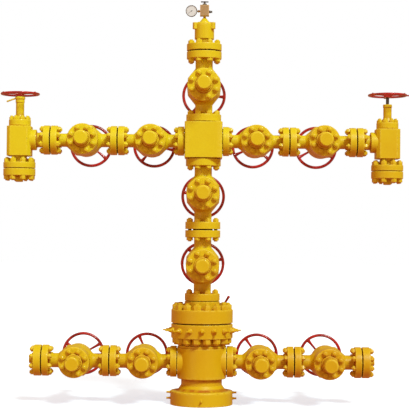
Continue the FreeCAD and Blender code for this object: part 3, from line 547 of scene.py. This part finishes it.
valves = {  # kind, aim of the run, first spoke seen from the front (degrees from +X towards +Z)
    "lower_master": (runKind, "z", 14), "upper_master": (runKind, "z", 168),
    "swab": (runKind, "z", -3), "upper_left_inner": (upperKind, "-x", -10),
    "upper_left_outer": (upperKind, "-x", -40), "upper_right_inner": (upperKind, "x", -36),
    "upper_right_outer": (upperKind, "x", -30), "lower_left_inner": (lowerKind, "-x", 114),
    "lower_left_outer": (lowerKind, "-x", 30), "lower_right_inner": (lowerKind, "x", 125),
    "lower_right_outer": (lowerKind, "x", 130)}


def flangeRows(kind, thick, rounding=0.0):
    # A flange's raised face and rim, from its middle to the back of the rim.
    return [(0, 0, 0), (kind["face"], 0, rounding), (kind["face"], raised, 0.001),
            (kind["flange"], raised, 0.003), (kind["flange"], thick, 0.005)]


def valveCasting(kind, length):
    # The flanges and necks turned about the run, swelling into a barrel that crosses it: the radius
    # at each angle is the larger of the cone's and of the barrel's, sqrt(R^2 - s^2)/|cos|, eased together.
    path, edge = softened(flangeRows(kind, kind["thick"], 0.0005) + [
        (kind["neck"], kind["thick"], 0.010), (kind["neck"], kind["thick"] + 0.022, 0)])
    half = length / 2
    inner = kind["bonnet"] - 0.0015
    swing = inner * np.sin(np.radians(np.linspace(-90, 90, 47)))
    rest = np.linspace(inner + 0.002, half - kind["thick"] - 0.0225, 12)
    s = np.concatenate([-rest[::-1], swing, rest])
    cone = np.interp(np.abs(s), [0, kind["taperTo"], kind["taperFrom"], half],
                     [kind["shoulder"], kind["shoulder"], kind["neck"], kind["neck"]])
    middle = np.stack([cone, s + half], -1)
    mirrored = np.stack([path[::-1, 0], length - path[::-1, 1]], -1)
    whole = np.concatenate([path, middle, mirrored])
    edges = np.concatenate([edge, np.zeros(len(s)), edge[::-1]])

    def widen(radius, height, t):
        inside = np.sqrt(np.clip(inner ** 2 - (height - half) ** 2, 0, None))
        barrel = np.minimum(inside / np.maximum(np.abs(np.cos(t)), 1e-6),
                            (barrelHalf + 0.02) / np.maximum(np.abs(np.sin(t)), 1e-6))
        near = np.clip(fillet * 2 - np.abs(radius - barrel), 0, None) / (fillet * 2)
        blended = np.maximum(radius, barrel) + near ** 2 * fillet / 2
        return np.where(np.abs(height - half) < half - kind["thick"] - 0.02, blended, radius)

    return revolved(whole, edges, 144, widen=widen)


bonnet = {"thick": 0.068, "tailRadius": 0.058, "tailLength": 0.172, "throatRadius": 0.060,
          "throatLength": 0.140, "capRadius": 0.075, "capThick": 0.040, "housingRadius": 0.0575,
          "housingLength": 0.280, "bore": 0.0163, "socket": 0.050, "nutFlats": 0.041,
          "nutTall": 0.021, "stud": 0.0285, "stickOut": 0.007, "nutCount": 8, "nutInset": 0.0275,
          "step": 0.12, "fitting": 0.07}


def coverPlate(r):
    # The bonnet's plate and the groove where it seats.
    return [(0, 0, 0), (r - 0.001, 0, 0.002), (r - 0.001, 0.004, 0), (r, 0.0045, 0),
            (r, bonnet["thick"], 0.006)]


def frontBonnet(kind):
    foot, tail = bonnet["thick"], bonnet["tailRadius"]
    end = foot + bonnet["tailLength"]
    cover = turned(coverPlate(kind["bonnet"]) + [
        (tail + 0.012, foot, 0.003), (tail + 0.008, foot + 0.012, 0.003), (tail, foot + 0.012, 0.004),
        (tail, end - 0.008, 0.003), (tail - 0.008, end, 0.003), (0, end, 0)], 96)
    return [cover]


def backBonnet(kind):
    throat, capWide, housing = bonnet["throatRadius"], bonnet["capRadius"], bonnet["housingRadius"]
    throatTop = bonnet["thick"] + bonnet["throatLength"]
    capTop = throatTop + bonnet["capThick"]
    end = capTop + bonnet["housingLength"]
    step, socketFoot = capTop + bonnet["step"], end - bonnet["socket"]
    cover = turned(coverPlate(kind["bonnet"]) + [
        (throat, bonnet["thick"], 0.012), (throat, throatTop, 0.003), (capWide, throatTop, 0.004),
        (capWide, capTop, 0.004), (housing, capTop, 0.006), (housing, step, 0.002),
        (housing - 0.004, step + 0.004, 0.002), (housing - 0.004, end - 0.030, 0.002),
        (housing, end - 0.026, 0.002), (housing, end, 0.006), (bonnet["bore"] + 0.004, end, 0.002),
        (bonnet["bore"], end - 0.004, 0), (bonnet["bore"], socketFoot, 0), (0, socketFoot, 0)], 96)
    fitting = placed(turned([(0, 0, 0), (0.008, 0, 0), (0.008, 0.012, 0.001), (0.004, 0.013, 0.001),
                             (0.004, 0.022, 0.0015), (0, 0.022, 0)], 12),
                     (0, housing - 0.005, capTop + bonnet["fitting"]), "y")
    return [cover, fitting]


wheelLook = {"rim": 0.0125, "hub": 0.029, "hubHeight": 0.040, "spoke": 0.0090, "shaft": 0.016}


def wheelShells(radius, hubHeight, firstSpoke, look):
    # Rim: a circle of radius rim turned at wheel radius - rim. Spokes: round bars that flare at both ends.
    t = np.linspace(0, 2 * np.pi, 16, endpoint=False)
    ring = radius - look["rim"]
    rim = revolved(np.stack([ring + look["rim"] * np.cos(t), look["rim"] * np.sin(t)], -1),
                   np.zeros(16), 128, closed=True)
    h = hubHeight / 2
    hub = turned([(0, -h, 0), (look["hub"], -h, 0.004), (look["hub"], -h * 0.3, 0.002),
                  (look["hub"], h * 0.3, 0.002), (look["hub"] - 0.004, h, 0.004), (0, h, 0)], 48)
    d = np.linspace(look["hub"] * 0.6, ring, 17)
    thick = (look["spoke"] + 0.011 * np.exp(-((ring - d) / 0.026))
             + 0.005 * np.exp(-((d - look["hub"]) / 0.014).clip(0)))
    spoke = revolved(np.stack([np.concatenate([[0], thick, [0]]), np.concatenate([d[:1], d, d[-1:]])], -1),
                     np.zeros(len(d) + 2), 16)
    flat = spoke[0] * np.array([0.82, 1, 1])
    spokes = [placed((flat, spoke[1], spoke[2]), aim=turnMatrix("Z", firstSpoke + 120 * i) @ aims["x"])
              for i in range(3)]
    return [rim, hub] + spokes


def gateWheel(name, kind, middle, firstSpoke):
    low, high = spanOf(name + "_handwheel")
    plane = high[1] - max(wheelLook["hubHeight"] / 2, wheelLook["rim"])
    shells = wheelShells(kind["wheel"], wheelLook["hubHeight"], -firstSpoke, wheelLook)
    shaft = rod(wheelLook["shaft"], low[1] - plane, -0.01, foot=0.001)
    shells = [placed(s, (middle[0], plane, middle[2]), "y") for s in shells + [shaft]]
    build(name + ".wheel", shells, red, name + "_wheel", name + "_handwheel")


opposite = {"x": "-x", "-x": "x", "z": "-z", "-z": "z"}
ways = {"z": (2, 1), "x": (0, 1), "-x": (0, -1)}  # the run's axis, and its sign
bonnetPieces = {}
for name, (kind, aim, firstSpoke) in valves.items():
    low, high = spanOf(name + "_body")
    middle = (low + high) / 2
    along, sign = ways[aim]
    length = high[along] - low[along]
    start = middle.copy()
    start[along] -= sign * length / 2
    casting = placed(valveCasting(kind, length), start, aim)
    build(name + ".casting", casting, castYellow, replaces=name + "_body")
    r = kind["bonnet"] - bonnet["nutInset"]
    coverNut = nut(bonnet["nutFlats"], bonnet["nutTall"], bonnet["stud"], bonnet["stickOut"])
    nuts = ringOf(coverNut, bonnet["nutCount"], r, 22.5)
    front = [placed(s, (middle[0], -barrelHalf, middle[2]), "-y") for s in frontBonnet(kind)]
    back = [placed(s, (middle[0], barrelHalf, middle[2]), "y") for s in backBonnet(kind)]
    studs = [placed(nuts, (middle[0], -barrelHalf - bonnet["thick"], middle[2]), "-y"),
             placed(nuts, (middle[0], barrelHalf + bonnet["thick"], middle[2]), "y")]
    level = "run" if aim == "z" else name.rsplit("_", 1)[0]
    found = bonnetPieces.setdefault(level, [[], []])
    found[0] += front + back
    found[1] += studs
    gateWheel(name, kind, middle, firstSpoke)
for level, (covers, studs) in bonnetPieces.items():
    build(level + ".bonnets", covers, castYellow, replaces=level + "_bonnets")
    build(level + ".bonnetNuts", studs, smoothYellow)
print("gate valves made")


# Flange studs

def flangeNuts(kind, at, aim):
    one = nut(kind["nutFlats"], kind["nutTall"], kind["stud"], flangeStickOut)
    return placed(ringOf(one, 8, kind["studCircle"], 22.5), at, aim)


def gasketRing(kind, at, aim):
    # The ring between two raised faces, and the studs that show in the gap round it.
    wide, half, stud = kind["face"] + 0.004, raised * 0.9, kind["stud"] / 2
    ring = turned([(0.04, -half, 0), (wide, -half, 0.001), (wide, half, 0.001), (0.04, half, 0)], 64,
                  closed=True)
    shank = rod(stud, -half, half, 12)
    return placed(joined([ring, ringOf(shank, 8, kind["studCircle"], 22.5)]), at, aim)


studShells = {"run": [], "upper": [], "lower": []}
gaskets = []
for name, (kind, aim, firstSpoke) in valves.items():
    low, high = spanOf(name + "_body")
    middle = (low + high) / 2
    along, sign = ways[aim]
    half = (high[along] - low[along]) / 2
    group = studShells["run" if aim == "z" else name.split("_")[0]]
    for end in (-1, 1):
        at = middle.copy()
        at[along] += sign * end * (half - kind["thick"])
        group.append(flangeNuts(kind, at, opposite[aim] if end > 0 else aim))
        at[along] += sign * end * kind["thick"]
        gaskets.append(gasketRing(kind, at, aim))
build("gaskets", gaskets, gasket)


# Cross

crossLow, crossHigh = spanOf("cross_block")
half = (crossHigh - crossLow) / 2
crossShell = carried(oblong(half[0], half[1], 0.016),
                     [(-0.010, 0, 0), (0, 0, 0.010), (0, 2 * half[2], 0.010), (-0.010, 2 * half[2], 0)])
build("crossBlock", placed(crossShell, (0, 0, crossLow[2])), castYellow, replaces="cross_block")


# Chokes

choke = {"block": 0.098, "front": 0.0705, "top": 0.111, "bottom": 0.134, "collar": 0.085,
         "collarEnd": 0.140, "neck": 0.061, "face": 0.256, "throat": 0.061, "throatEnd": 0.185,
         "flange": 0.131, "flangeThick": 0.048, "stub": 0.0325, "stubLength": 0.050, "bore": 0.0215,
         "bonnet": 0.090, "bonnetTop": 0.164, "cone": 0.052, "coneTop": 0.203, "tube": 0.034,
         "tubeTop": {"left": 0.330, "right": 0.315}, "studCircle": 0.105, "stemRadius": 0.013,
         "wellFoot": 0.192, "wheel": 0.161, "hubHeight": 0.034, "crownInset": 0.0195,
         "gripFrom": 0.150, "gripRadius": 0.006}
bigChokeNut, smallChokeNut = nut(0.044, 0.030, 0.027, 0.010), nut(0.034, 0.022, 0.022, 0.012)
wingHeight = middleOf("upper_left_inner_body")[2]


def makeChoke(word, aim, firstSpoke, grip):
    name, c, end = "choke_" + word, choke, upperKind
    low, high = spanOf(name + "_outlet")
    foot, top = low[2], high[2]
    x = (low[0] + high[0]) / 2
    at = np.array([x, 0, wingHeight])
    b, f, t = c["block"], c["front"], c["top"]
    block = carried([(-b, -f, 0.004), (-f, -b, 0.004), (f, -b, 0.004), (b, -f, 0.004), (b, f, 0.004),
                     (f, b, 0.004), (-f, b, 0.004), (-b, f, 0.004)],
                    [(-0.012, -c["bottom"], 0), (0, -c["bottom"], 0.009), (0, t, 0.006), (-0.010, t, 0)])
    flangeFoot = c["face"] - end["thick"]
    inlet = turned([(0, 0, 0), (c["collar"], 0, 0), (c["collar"], c["collarEnd"], 0.006),
                    (c["neck"], c["collarEnd"], 0.005), (c["neck"], flangeFoot, 0.010),
                    (end["flange"], flangeFoot, 0.005), (end["flange"], c["face"] - raised, 0.003),
                    (end["face"], c["face"] - raised, 0.001), (end["face"], c["face"], 0),
                    (0, c["face"], 0)])
    throatEnd, flangeEnd = c["throatEnd"], c["throatEnd"] + c["flangeThick"]
    throat = turned([(0, 0, 0), (c["throat"], 0, 0), (c["throat"], throatEnd, 0.008),
                     (c["flange"], throatEnd, 0.005), (c["flange"], flangeEnd, 0.004),
                     (0, flangeEnd, 0)])
    shells = [placed(block, at), placed(inlet, at, aim), placed(throat, at, "-z")]
    build(name + ".casting", shells, castYellow, replaces=name + "_body")
    tubeTop, bonnetTop = c["tubeTop"][word], c["bonnetTop"]
    crown = turned([(0, t, 0), (c["bonnet"] - 0.006, t, 0.003), (c["bonnet"], t + 0.008, 0.003),
                    (c["bonnet"], bonnetTop, 0.005), (c["cone"], bonnetTop, 0.004),
                    (c["cone"] - 0.006, bonnetTop + 0.012, 0.004), (c["tube"], c["coneTop"], 0.010),
                    (c["tube"], tubeTop - 0.026, 0.001), (c["tube"] + 0.003, tubeTop - 0.024, 0.001),
                    (c["tube"] + 0.003, tubeTop, 0.003), (c["stemRadius"] + 0.0015, tubeTop, 0.001),
                    (c["stemRadius"] + 0.0006, c["wellFoot"], 0), (0, c["wellFoot"], 0)], 64)
    build(name + ".bonnet", placed(crown, at), castYellow, replaces=name + "_bonnet")
    stubTop = foot + c["stubLength"]
    mate = turned([(c["bore"], foot, 0.001), (c["stub"] - 0.004, foot, 0.001),
                   (c["stub"], foot + 0.006, 0.001), (c["stub"], stubTop, 0.008),
                   (c["flange"], stubTop, 0.005), (c["flange"], top - raised, 0.004),
                   (end["face"], top - raised, 0.001), (end["face"], top, 0), (c["bore"], top, 0)],
                  closed=True)
    build(name + ".outlet", placed(mate, (x, 0, 0)), castYellow, replaces=name + "_outlet")
    around = ringOf(bigChokeNut, 8, c["studCircle"], 22.5)
    crownNuts = ringOf(smallChokeNut, 8, c["bonnet"] - c["crownInset"], 22.5)
    inletNuts = flangeNuts(end, at + np.array(aims[aim][:, 2]) * flangeFoot, opposite[aim])
    build(name + ".nuts",
          [placed(around, (x, 0, wingHeight - throatEnd)), placed(around, (x, 0, stubTop), "-z"),
           placed(crownNuts, (x, 0, wingHeight + bonnetTop)), inletNuts], smoothYellow)
    low, high = spanOf(name + "_stem")
    stem = rod(c["stemRadius"], low[2], high[2], foot=0.001, top=0.001)
    build(name + ".stem", placed(stem, (x, 0, 0)), darkSteel, name + "_lift_body", name + "_stem")
    low, high = spanOf(name + "_handwheel")
    shells = wheelShells(c["wheel"], c["hubHeight"], firstSpoke, dict(wheelLook, rim=0.009, spoke=0.0065))
    if grip:
        tip = high[0] - x - 0.0005
        shells.append(placed(rod(c["gripRadius"], c["gripFrom"], tip, 16, top=0.003), aim="x"))
    plane = (low[2] + high[2]) / 2
    build(name + ".wheel", [placed(s, (x, 0, plane)) for s in shells], red, name + "_wheel_body",
          name + "_handwheel")
    return x


leftX = makeChoke("left", "x", -30, False)
makeChoke("right", "-x", 90, True)

lock = {"foot": 0.3305, "height": 0.024, "radius": 0.042, "bore": 0.019, "lever": 0.007, "long": 0.088,
        "lift": 110}
r, h = lock["radius"], lock["height"]
lockRing = turned([(lock["bore"], 0, 0.001), (r - 0.006, 0, 0.002), (r, 0.006, 0.003),
                   (r, h - 0.004, 0.003), (r - 0.006, h, 0.002), (lock["bore"], h, 0.001)],
                  64, closed=True)
leverStart = np.array([-r + 0.008, 0, h / 2])
lift = math.radians(lock["lift"])
leverWay = np.array([-math.sin(lift), 0, math.cos(lift)])
along = np.linspace(0, 1, 9)
lever = tube(leverStart + leverWay * along[:, None] * (lock["long"] - 0.012),
             lock["lever"] - 0.0005 + 0.0005 * along ** 3, 16)
build("choke_left.lock", [placed(s, (leftX, 0, wingHeight + lock["foot"])) for s in (lockRing, lever)],
      smoothYellow, "choke_left_lock_body", "choke_left_lock")
print("chokes made")


# Blind flanges at the ends of the lower wings

plugLook = {"radius": 0.031, "shank": 0.024, "tail": 0.0255, "socket": 0.010}
for word, aim in (("left", "-x"), ("right", "x")):
    low, high = spanOf("lower_%s_end_flange" % word)
    at = np.array([high[0] if word == "left" else low[0], 0, outletHeight])
    back = high[0] - low[0]
    flange = turned(flangeRows(lowerKind, back) + [
        (0.050, back, 0.002), (0.047, back - 0.003, 0.002), (plugLook["shank"], back - 0.003, 0),
        (0, back - 0.003, 0)])
    build("lower_%s.endFlange" % word, placed(flange, at, aim), castYellow,
          replaces="lower_%s_end_flange" % word)
    low, high = spanOf("lower_%s_plug" % word)
    reach = (high[0] - low[0]) + raised
    plug = turned([(0, back - 0.004, 0), (plugLook["radius"], back - 0.004, 0),
                   (plugLook["radius"], back + 0.022, 0.003), (plugLook["tail"], back + 0.026, 0.002),
                   (plugLook["tail"], reach, 0.004), (plugLook["socket"], reach, 0.001),
                   (plugLook["socket"] - 0.002, reach - 0.004, 0.001), (0, reach - 0.004, 0)], 48)
    build("lower_%s.plug" % word, placed(plug, at, aim), smoothYellow, replaces="lower_%s_plug" % word)
    nutsAt = at.copy()
    nutsAt[0] += back if word == "right" else -back
    studShells["lower"].append(flangeNuts(lowerKind, nutsAt, aim))
print("wing ends made")


# Tree cap, needle valve and gauge

cap = {"thick": 0.060, "hub": 0.065}
capLow, capHigh = spanOf("cap_flange")
treeTop, capTall = capLow[2], capHigh[2] - capLow[2]
capShell = turned(flangeRows(runKind, cap["thick"]) + [
    (cap["hub"], cap["thick"], 0.010), (cap["hub"], capTall, 0.003), (0, capTall, 0)])
build("capFlange", placed(capShell, (0, 0, treeTop)), castYellow, replaces="cap_flange")
studShells["run"].append(flangeNuts(runKind, (0, 0, treeTop + cap["thick"]), "z"))

union = {"bore": 0.0655, "radius": 0.080, "shoulder": 0.012, "top": 0.068, "mouth": 0.043, "deep": 0.030,
         "lugFrom": 0.070, "lugTo": 0.102, "lugFoot": 0.022, "lugTip": 0.019, "lugTall": 0.054,
         "lugDrop": 0.058, "lugTurns": (-35, 85, 205)}
nutLow, nutHigh = spanOf("cap_union_nut")
foot, top = nutLow[2], nutHigh[2]
nutRing = turned([(union["bore"], foot, 0.001), (union["radius"], foot, 0.003),
                  (union["radius"], top - union["shoulder"], 0.006), (union["top"], top, 0.004),
                  (union["mouth"], top, 0.003), (union["mouth"], top - union["deep"], 0),
                  (union["bore"], top - union["deep"] - 0.001, 0)], 96, closed=True)
lug = carried([(union["lugFrom"], -union["lugFoot"], 0.003), (union["lugTo"], -union["lugTip"], 0.012),
               (union["lugTo"], union["lugTip"], 0.012), (union["lugFrom"], union["lugFoot"], 0.003)],
              [(-0.004, 0, 0), (0, 0, 0.004), (0, union["lugTall"], 0.004),
               (-0.004, union["lugTall"], 0)])
lugs = [placed(lug, (0, 0, top - union["lugDrop"]), "z", turn) for turn in union["lugTurns"]]
build("capUnionNut", [nutRing] + lugs, castYellow, replaces="cap_union_nut")

capPlug = {"radius": 0.0415, "stand": 0.004, "neck": 0.016, "tip": 0.011, "neckDrop": 0.020}
plugTop = spanOf("cap_plug")[1][2]
r, tip, neckTop = capPlug["radius"], capPlug["tip"], plugTop - capPlug["neckDrop"]
plugShell = turned([(0, top - 0.02, 0), (r, top - 0.02, 0), (r, top + capPlug["stand"], 0.005),
                    (capPlug["neck"], neckTop, 0.004), (tip, neckTop + 0.004, 0.003),
                    (tip, plugTop, 0), (0, plugTop, 0)], 48)
build("capPlug", plugShell, smoothYellow, replaces="cap_plug")

needle = {"wide": 0.037, "deep": 0.035, "nut": 0.018, "nutFlat": 0.0165, "nutHeight": 0.014,
          "bleed": 0.011, "bleedNeck": 0.007, "bleedTip": 0.0095, "bleedDrop": 0.009, "stem": 0.007,
          "hub": 0.0085, "bar": 0.0048, "barFlare": 0.0010, "barEnd": 0.033}
blockLow, blockHigh = spanOf("needle_valve_block")
blockTop = blockHigh[2] - needle["nutHeight"]
blockTall = blockTop - blockLow[2]
blockMiddle = (blockLow[2] + blockTop) / 2
w = needle["wide"]
needleBlock = carried(oblong(w, needle["deep"], 0.003),
                      [(-0.003, 0, 0), (0, 0, 0.003), (0, blockTall, 0.003), (-0.003, blockTall, 0)])
gland = turned([(0, 0, 0), (needle["nut"], 0, 0), (needle["nut"], needle["nutHeight"] - 0.002, 0.001),
                (needle["nut"] - 0.004, needle["nutHeight"], 0.001), (0, needle["nutHeight"], 0)], 24,
               widen=lambda r, h, t: np.minimum(r, sixFlats(needle["nutFlat"], t)))
bleedReach = blockHigh[0] - w
bleed = turned([(0, 0, 0), (needle["bleed"], 0, 0), (needle["bleed"], 0.012, 0.001),
                (needle["bleedNeck"], 0.014, 0.001), (needle["bleedNeck"], 0.019, 0.001),
                (needle["bleedTip"], 0.020, 0.001), (needle["bleedTip"], bleedReach, 0.001),
                (0, bleedReach, 0)], 24)
build("needleBlock", placed(needleBlock, (0, 0, blockLow[2])), bronze, replaces="needle_valve_block")
build("needleFittings", [placed(gland, (0, 0, blockTop)),
                         placed(bleed, (w, 0, blockMiddle - needle["bleedDrop"]), "x")],
      darkSteel)
needleStem = rod(needle["stem"], blockTop - 0.01, spanOf("needle_valve_stem")[1][2], 24, top=0.001)
build("needleStem", needleStem, darkSteel, "needle_lift_body", "needle_valve_stem")
barLow, barHigh = spanOf("needle_valve_handle")
barX = np.linspace(barLow[0] + 0.007, barHigh[0] - 0.007, 25)
bar = tube(np.stack([barX, 0 * barX, (barLow[2] + barHigh[2]) / 2 + 0 * barX], -1),
           needle["bar"] + needle["barFlare"] * (np.abs(barX) / needle["barEnd"]) ** 6, 16)
hub = rod(needle["hub"], barLow[2], barHigh[2] - 0.001, 24, foot=0.001, top=0.002)
build("needleHandle", [bar, hub], darkSteel, "needle_handle_body", "needle_valve_handle")

gauge = {"radius": 0.0475, "depth": 0.038, "rim": 0.0045, "stubFrom": 0.040, "markInset": 0.0065,
         "marks": 31, "firstMark": 135, "markTurn": 9, "pointer": 0.033, "pointerTurn": 128,
         "longMark": (0.007, 0.0007), "shortMark": (0.004, 0.0004), "boss": 0.004}
gaugeLow, gaugeHigh = spanOf("pressure_gauge")
g, deep = gauge["radius"], gauge["depth"]
gaugeAt = (gaugeLow[0] + g, gaugeLow[1] + deep, (gaugeLow[2] + gaugeHigh[2]) / 2)
lip = g - gauge["rim"]
case = turned([(0, 0, 0), (g - 0.004, 0, 0.003), (g - 0.002, 0.008, 0.002), (g - 0.002, deep - 0.012, 0.001),
               (g, deep - 0.010, 0.001), (g, deep - 0.001, 0.002), (lip, deep - 0.001, 0.0008),
               (lip, deep - 0.004, 0), (0, deep - 0.004, 0)], 64)
stubReach = -w + 0.002 - gaugeAt[0] - gauge["stubFrom"]
stub = turned([(0, 0, 0), (0.006, 0, 0), (0.006, 0.012, 0.001), (0.010, 0.013, 0.001), (0.010, 0.024, 0.001),
               (0.0075, 0.026, 0.001), (0.0075, stubReach, 0), (0, stubReach, 0)], 24)
build("gaugeCase", placed(case, gaugeAt, "-y"), darkSteel, replaces="pressure_gauge")
build("gaugeStub", placed(stub, (gaugeAt[0] + gauge["stubFrom"], 0, gaugeAt[2]), "x"), bronze)
face = rod(lip - 0.0002, deep - 0.0042, deep - 0.0034, 64)
build("gaugeFace", placed(face, gaugeAt, "-y"), dialWhite)
marks = []
markTop = g - gauge["markInset"]
for i in range(gauge["marks"]):
    long, wide = gauge["longMark" if i % 5 == 0 else "shortMark"]
    mark = carried([(-wide, markTop - long, 0), (wide, markTop - long, 0), (wide, markTop, 0),
                    (-wide, markTop, 0)], [(0, deep - 0.0036, 0), (0, deep - 0.0031, 0)])
    marks.append(placed(mark, spin=gauge["firstMark"] - gauge["markTurn"] * i))
pointer = carried([(-0.0012, -0.010, 0), (0.0012, -0.010, 0), (0.0004, gauge["pointer"], 0),
                   (-0.0004, gauge["pointer"], 0)], [(0, deep - 0.0030, 0), (0, deep - 0.0022, 0)])
boss = rod(gauge["boss"], deep - 0.0034, deep - 0.0015, 20, top=0.0005)
dialShells = marks + [placed(pointer, spin=gauge["pointerTurn"]), boss]
build("gaugeMarks", [placed(s, gaugeAt, "-y") for s in dialShells], ink)
print("tree cap made")


# Test valve and its lever, out along a radius of the adapter

test = {"angle": 45, "foot": 0.140, "end": 0.2365, "radius": 0.009, "height": 0.815, "shaft": 0.006,
        "inlet": 0.0065, "inletEnd": 0.158, "groove": 0.0070, "grooveFrom": 0.180, "grooveTo": 0.202,
        "hub": 0.011, "hubFoot": 0.2535, "hubEnd": 0.2700, "lever": 0.0095, "long": 0.084, "lift": 50}
outward = turnMatrix("Z", test["angle"]) @ aims["x"]
r, end = test["radius"], test["end"] - 0.0005
valveBody = turned([(0, test["foot"], 0), (test["inlet"], test["foot"], 0),
                    (test["inlet"], test["inletEnd"], 0.001), (r, test["inletEnd"] + 0.001, 0.001),
                    (r, test["grooveFrom"], 0.001), (test["groove"], test["grooveFrom"] + 0.002, 0.001),
                    (test["groove"], test["grooveTo"] - 0.002, 0.001), (r, test["grooveTo"], 0.001),
                    (r, end, 0.0015), (0, end, 0)], 32)
build("testValve", placed(valveBody, (0, 0, test["height"]), outward), bronze, replaces="test_valve")
leverHub = turned([(0, test["end"] - 0.02, 0), (test["shaft"], test["end"] - 0.02, 0),
                   (test["shaft"], test["hubFoot"], 0.001), (test["hub"], test["hubFoot"], 0.002),
                   (test["hub"], test["hubEnd"], 0.003), (0, test["hubEnd"], 0)], 32)
rise, turn = math.radians(test["lift"]), math.radians(test["angle"])
leverWay = np.array([math.cos(rise) * math.sin(turn), -math.cos(rise) * math.cos(turn), math.sin(rise)])
leverFoot = np.array([math.cos(turn), math.sin(turn), 0]) * (test["hubFoot"] + test["hubEnd"]) / 2
along = np.linspace(0.004, 1, 15)
testLever = tube(leverFoot + leverWay * along[:, None] * (test["long"] - test["lever"]),
                 test["lever"] * (0.95 + 0.25 * along ** 2), 16)
build("testLever", [placed(leverHub, (0, 0, test["height"]), outward),
                    placed(testLever, (0, 0, test["height"]))], red, "test_lever_body",
      "test_valve_lever")

for level, shells in studShells.items():
    build(level + ".flangeNuts", shells, smoothYellow)
print("test valve and flange nuts made")


# Stage, lights and camera

def makeFloor():
    mesh = bpy.data.meshes.new("floor")
    reach = 60.0
    mesh.from_pydata([(-reach, -reach, 0), (reach, -reach, 0), (reach, reach, 0), (-reach, reach, 0)],
                     [], [(0, 1, 2, 3)])
    floor = bpy.data.objects.new("floor", mesh)
    bpy.context.scene.collection.objects.link(floor)
    material = bpy.data.materials.new("paleFloor")
    material.use_nodes = True
    shader = material.node_tree.nodes["Principled BSDF"]
    shader.inputs["Base Color"].default_value = (0.86, 0.90, 1.0, 1)
    shader.inputs["Roughness"].default_value = 0.9
    shader.inputs["Emission Color"].default_value = (0.55, 0.80, 0.95, 1)
    shader.inputs["Emission Strength"].default_value = 0.75
    mesh.materials.append(material)
    floor.visible_diffuse = floor.visible_glossy = False


suns = {"key": {"source": (0.42, -0.80, 0.85), "wide": 16, "power": 2.50, "colour": (0.79, 1.0, 0.95)},
        "fill": {"source": (-0.8, -0.9, 0.20), "wide": 40, "power": 0.22, "colour": (1.0, 0.80, 0.55)}}


def sunLight(name, source, wide, power, colour):
    data = bpy.data.lights.new(name, "SUN")
    data.angle, data.energy, data.color = math.radians(wide), power, colour
    light = bpy.data.objects.new(name, data)
    bpy.context.scene.collection.objects.link(light)
    light.rotation_euler = (-Vector(source)).to_track_quat("-Z", "Y").to_euler()


def makeWorld():
    # White where it is seen directly, dimmer as a source of light.
    world = bpy.data.worlds.new("studio")
    world.use_nodes = True
    tree = world.node_tree
    seen = tree.nodes.new("ShaderNodeLightPath").outputs["Is Camera Ray"]
    colour = Signal(tree, seen).blend((0.57, 0.29, 0.14, 1), (1, 1, 1, 1))
    tree.links.new(colour.socket, tree.nodes["Background"].inputs["Color"])
    bpy.context.scene.world = world


view = {"distance": 11.5, "height": 1.361, "x": 0.0125, "lens": 123.2, "pitch": 1.37, "roll": 0.48}


def makeCamera():
    data = bpy.data.cameras.new("camera")
    data.lens, data.sensor_width = view["lens"], 36.0
    camera = bpy.data.objects.new("camera", data)
    bpy.context.scene.collection.objects.link(camera)
    turn = (Matrix.Rotation(math.radians(90 + view["pitch"]), 4, "X")
            @ Matrix.Rotation(math.radians(view["roll"]), 4, "Z"))
    camera.matrix_world = Matrix.Translation((view["x"], -view["distance"], view["height"])) @ turn
    bpy.context.scene.camera = camera


makeFloor()
for name, sun in suns.items():
    sunLight(name, **sun)
makeWorld()
bpy.context.scene.view_settings.view_transform = "Standard"
makeCamera()

for name, piece in nodes.items():  # what still shows of the frame takes the paint too
    if not piece.hide_render:
        piece.data.materials.clear()
        piece.data.materials.append(red if "lever" in name else castYellow)
        print("frame node shown:", name)
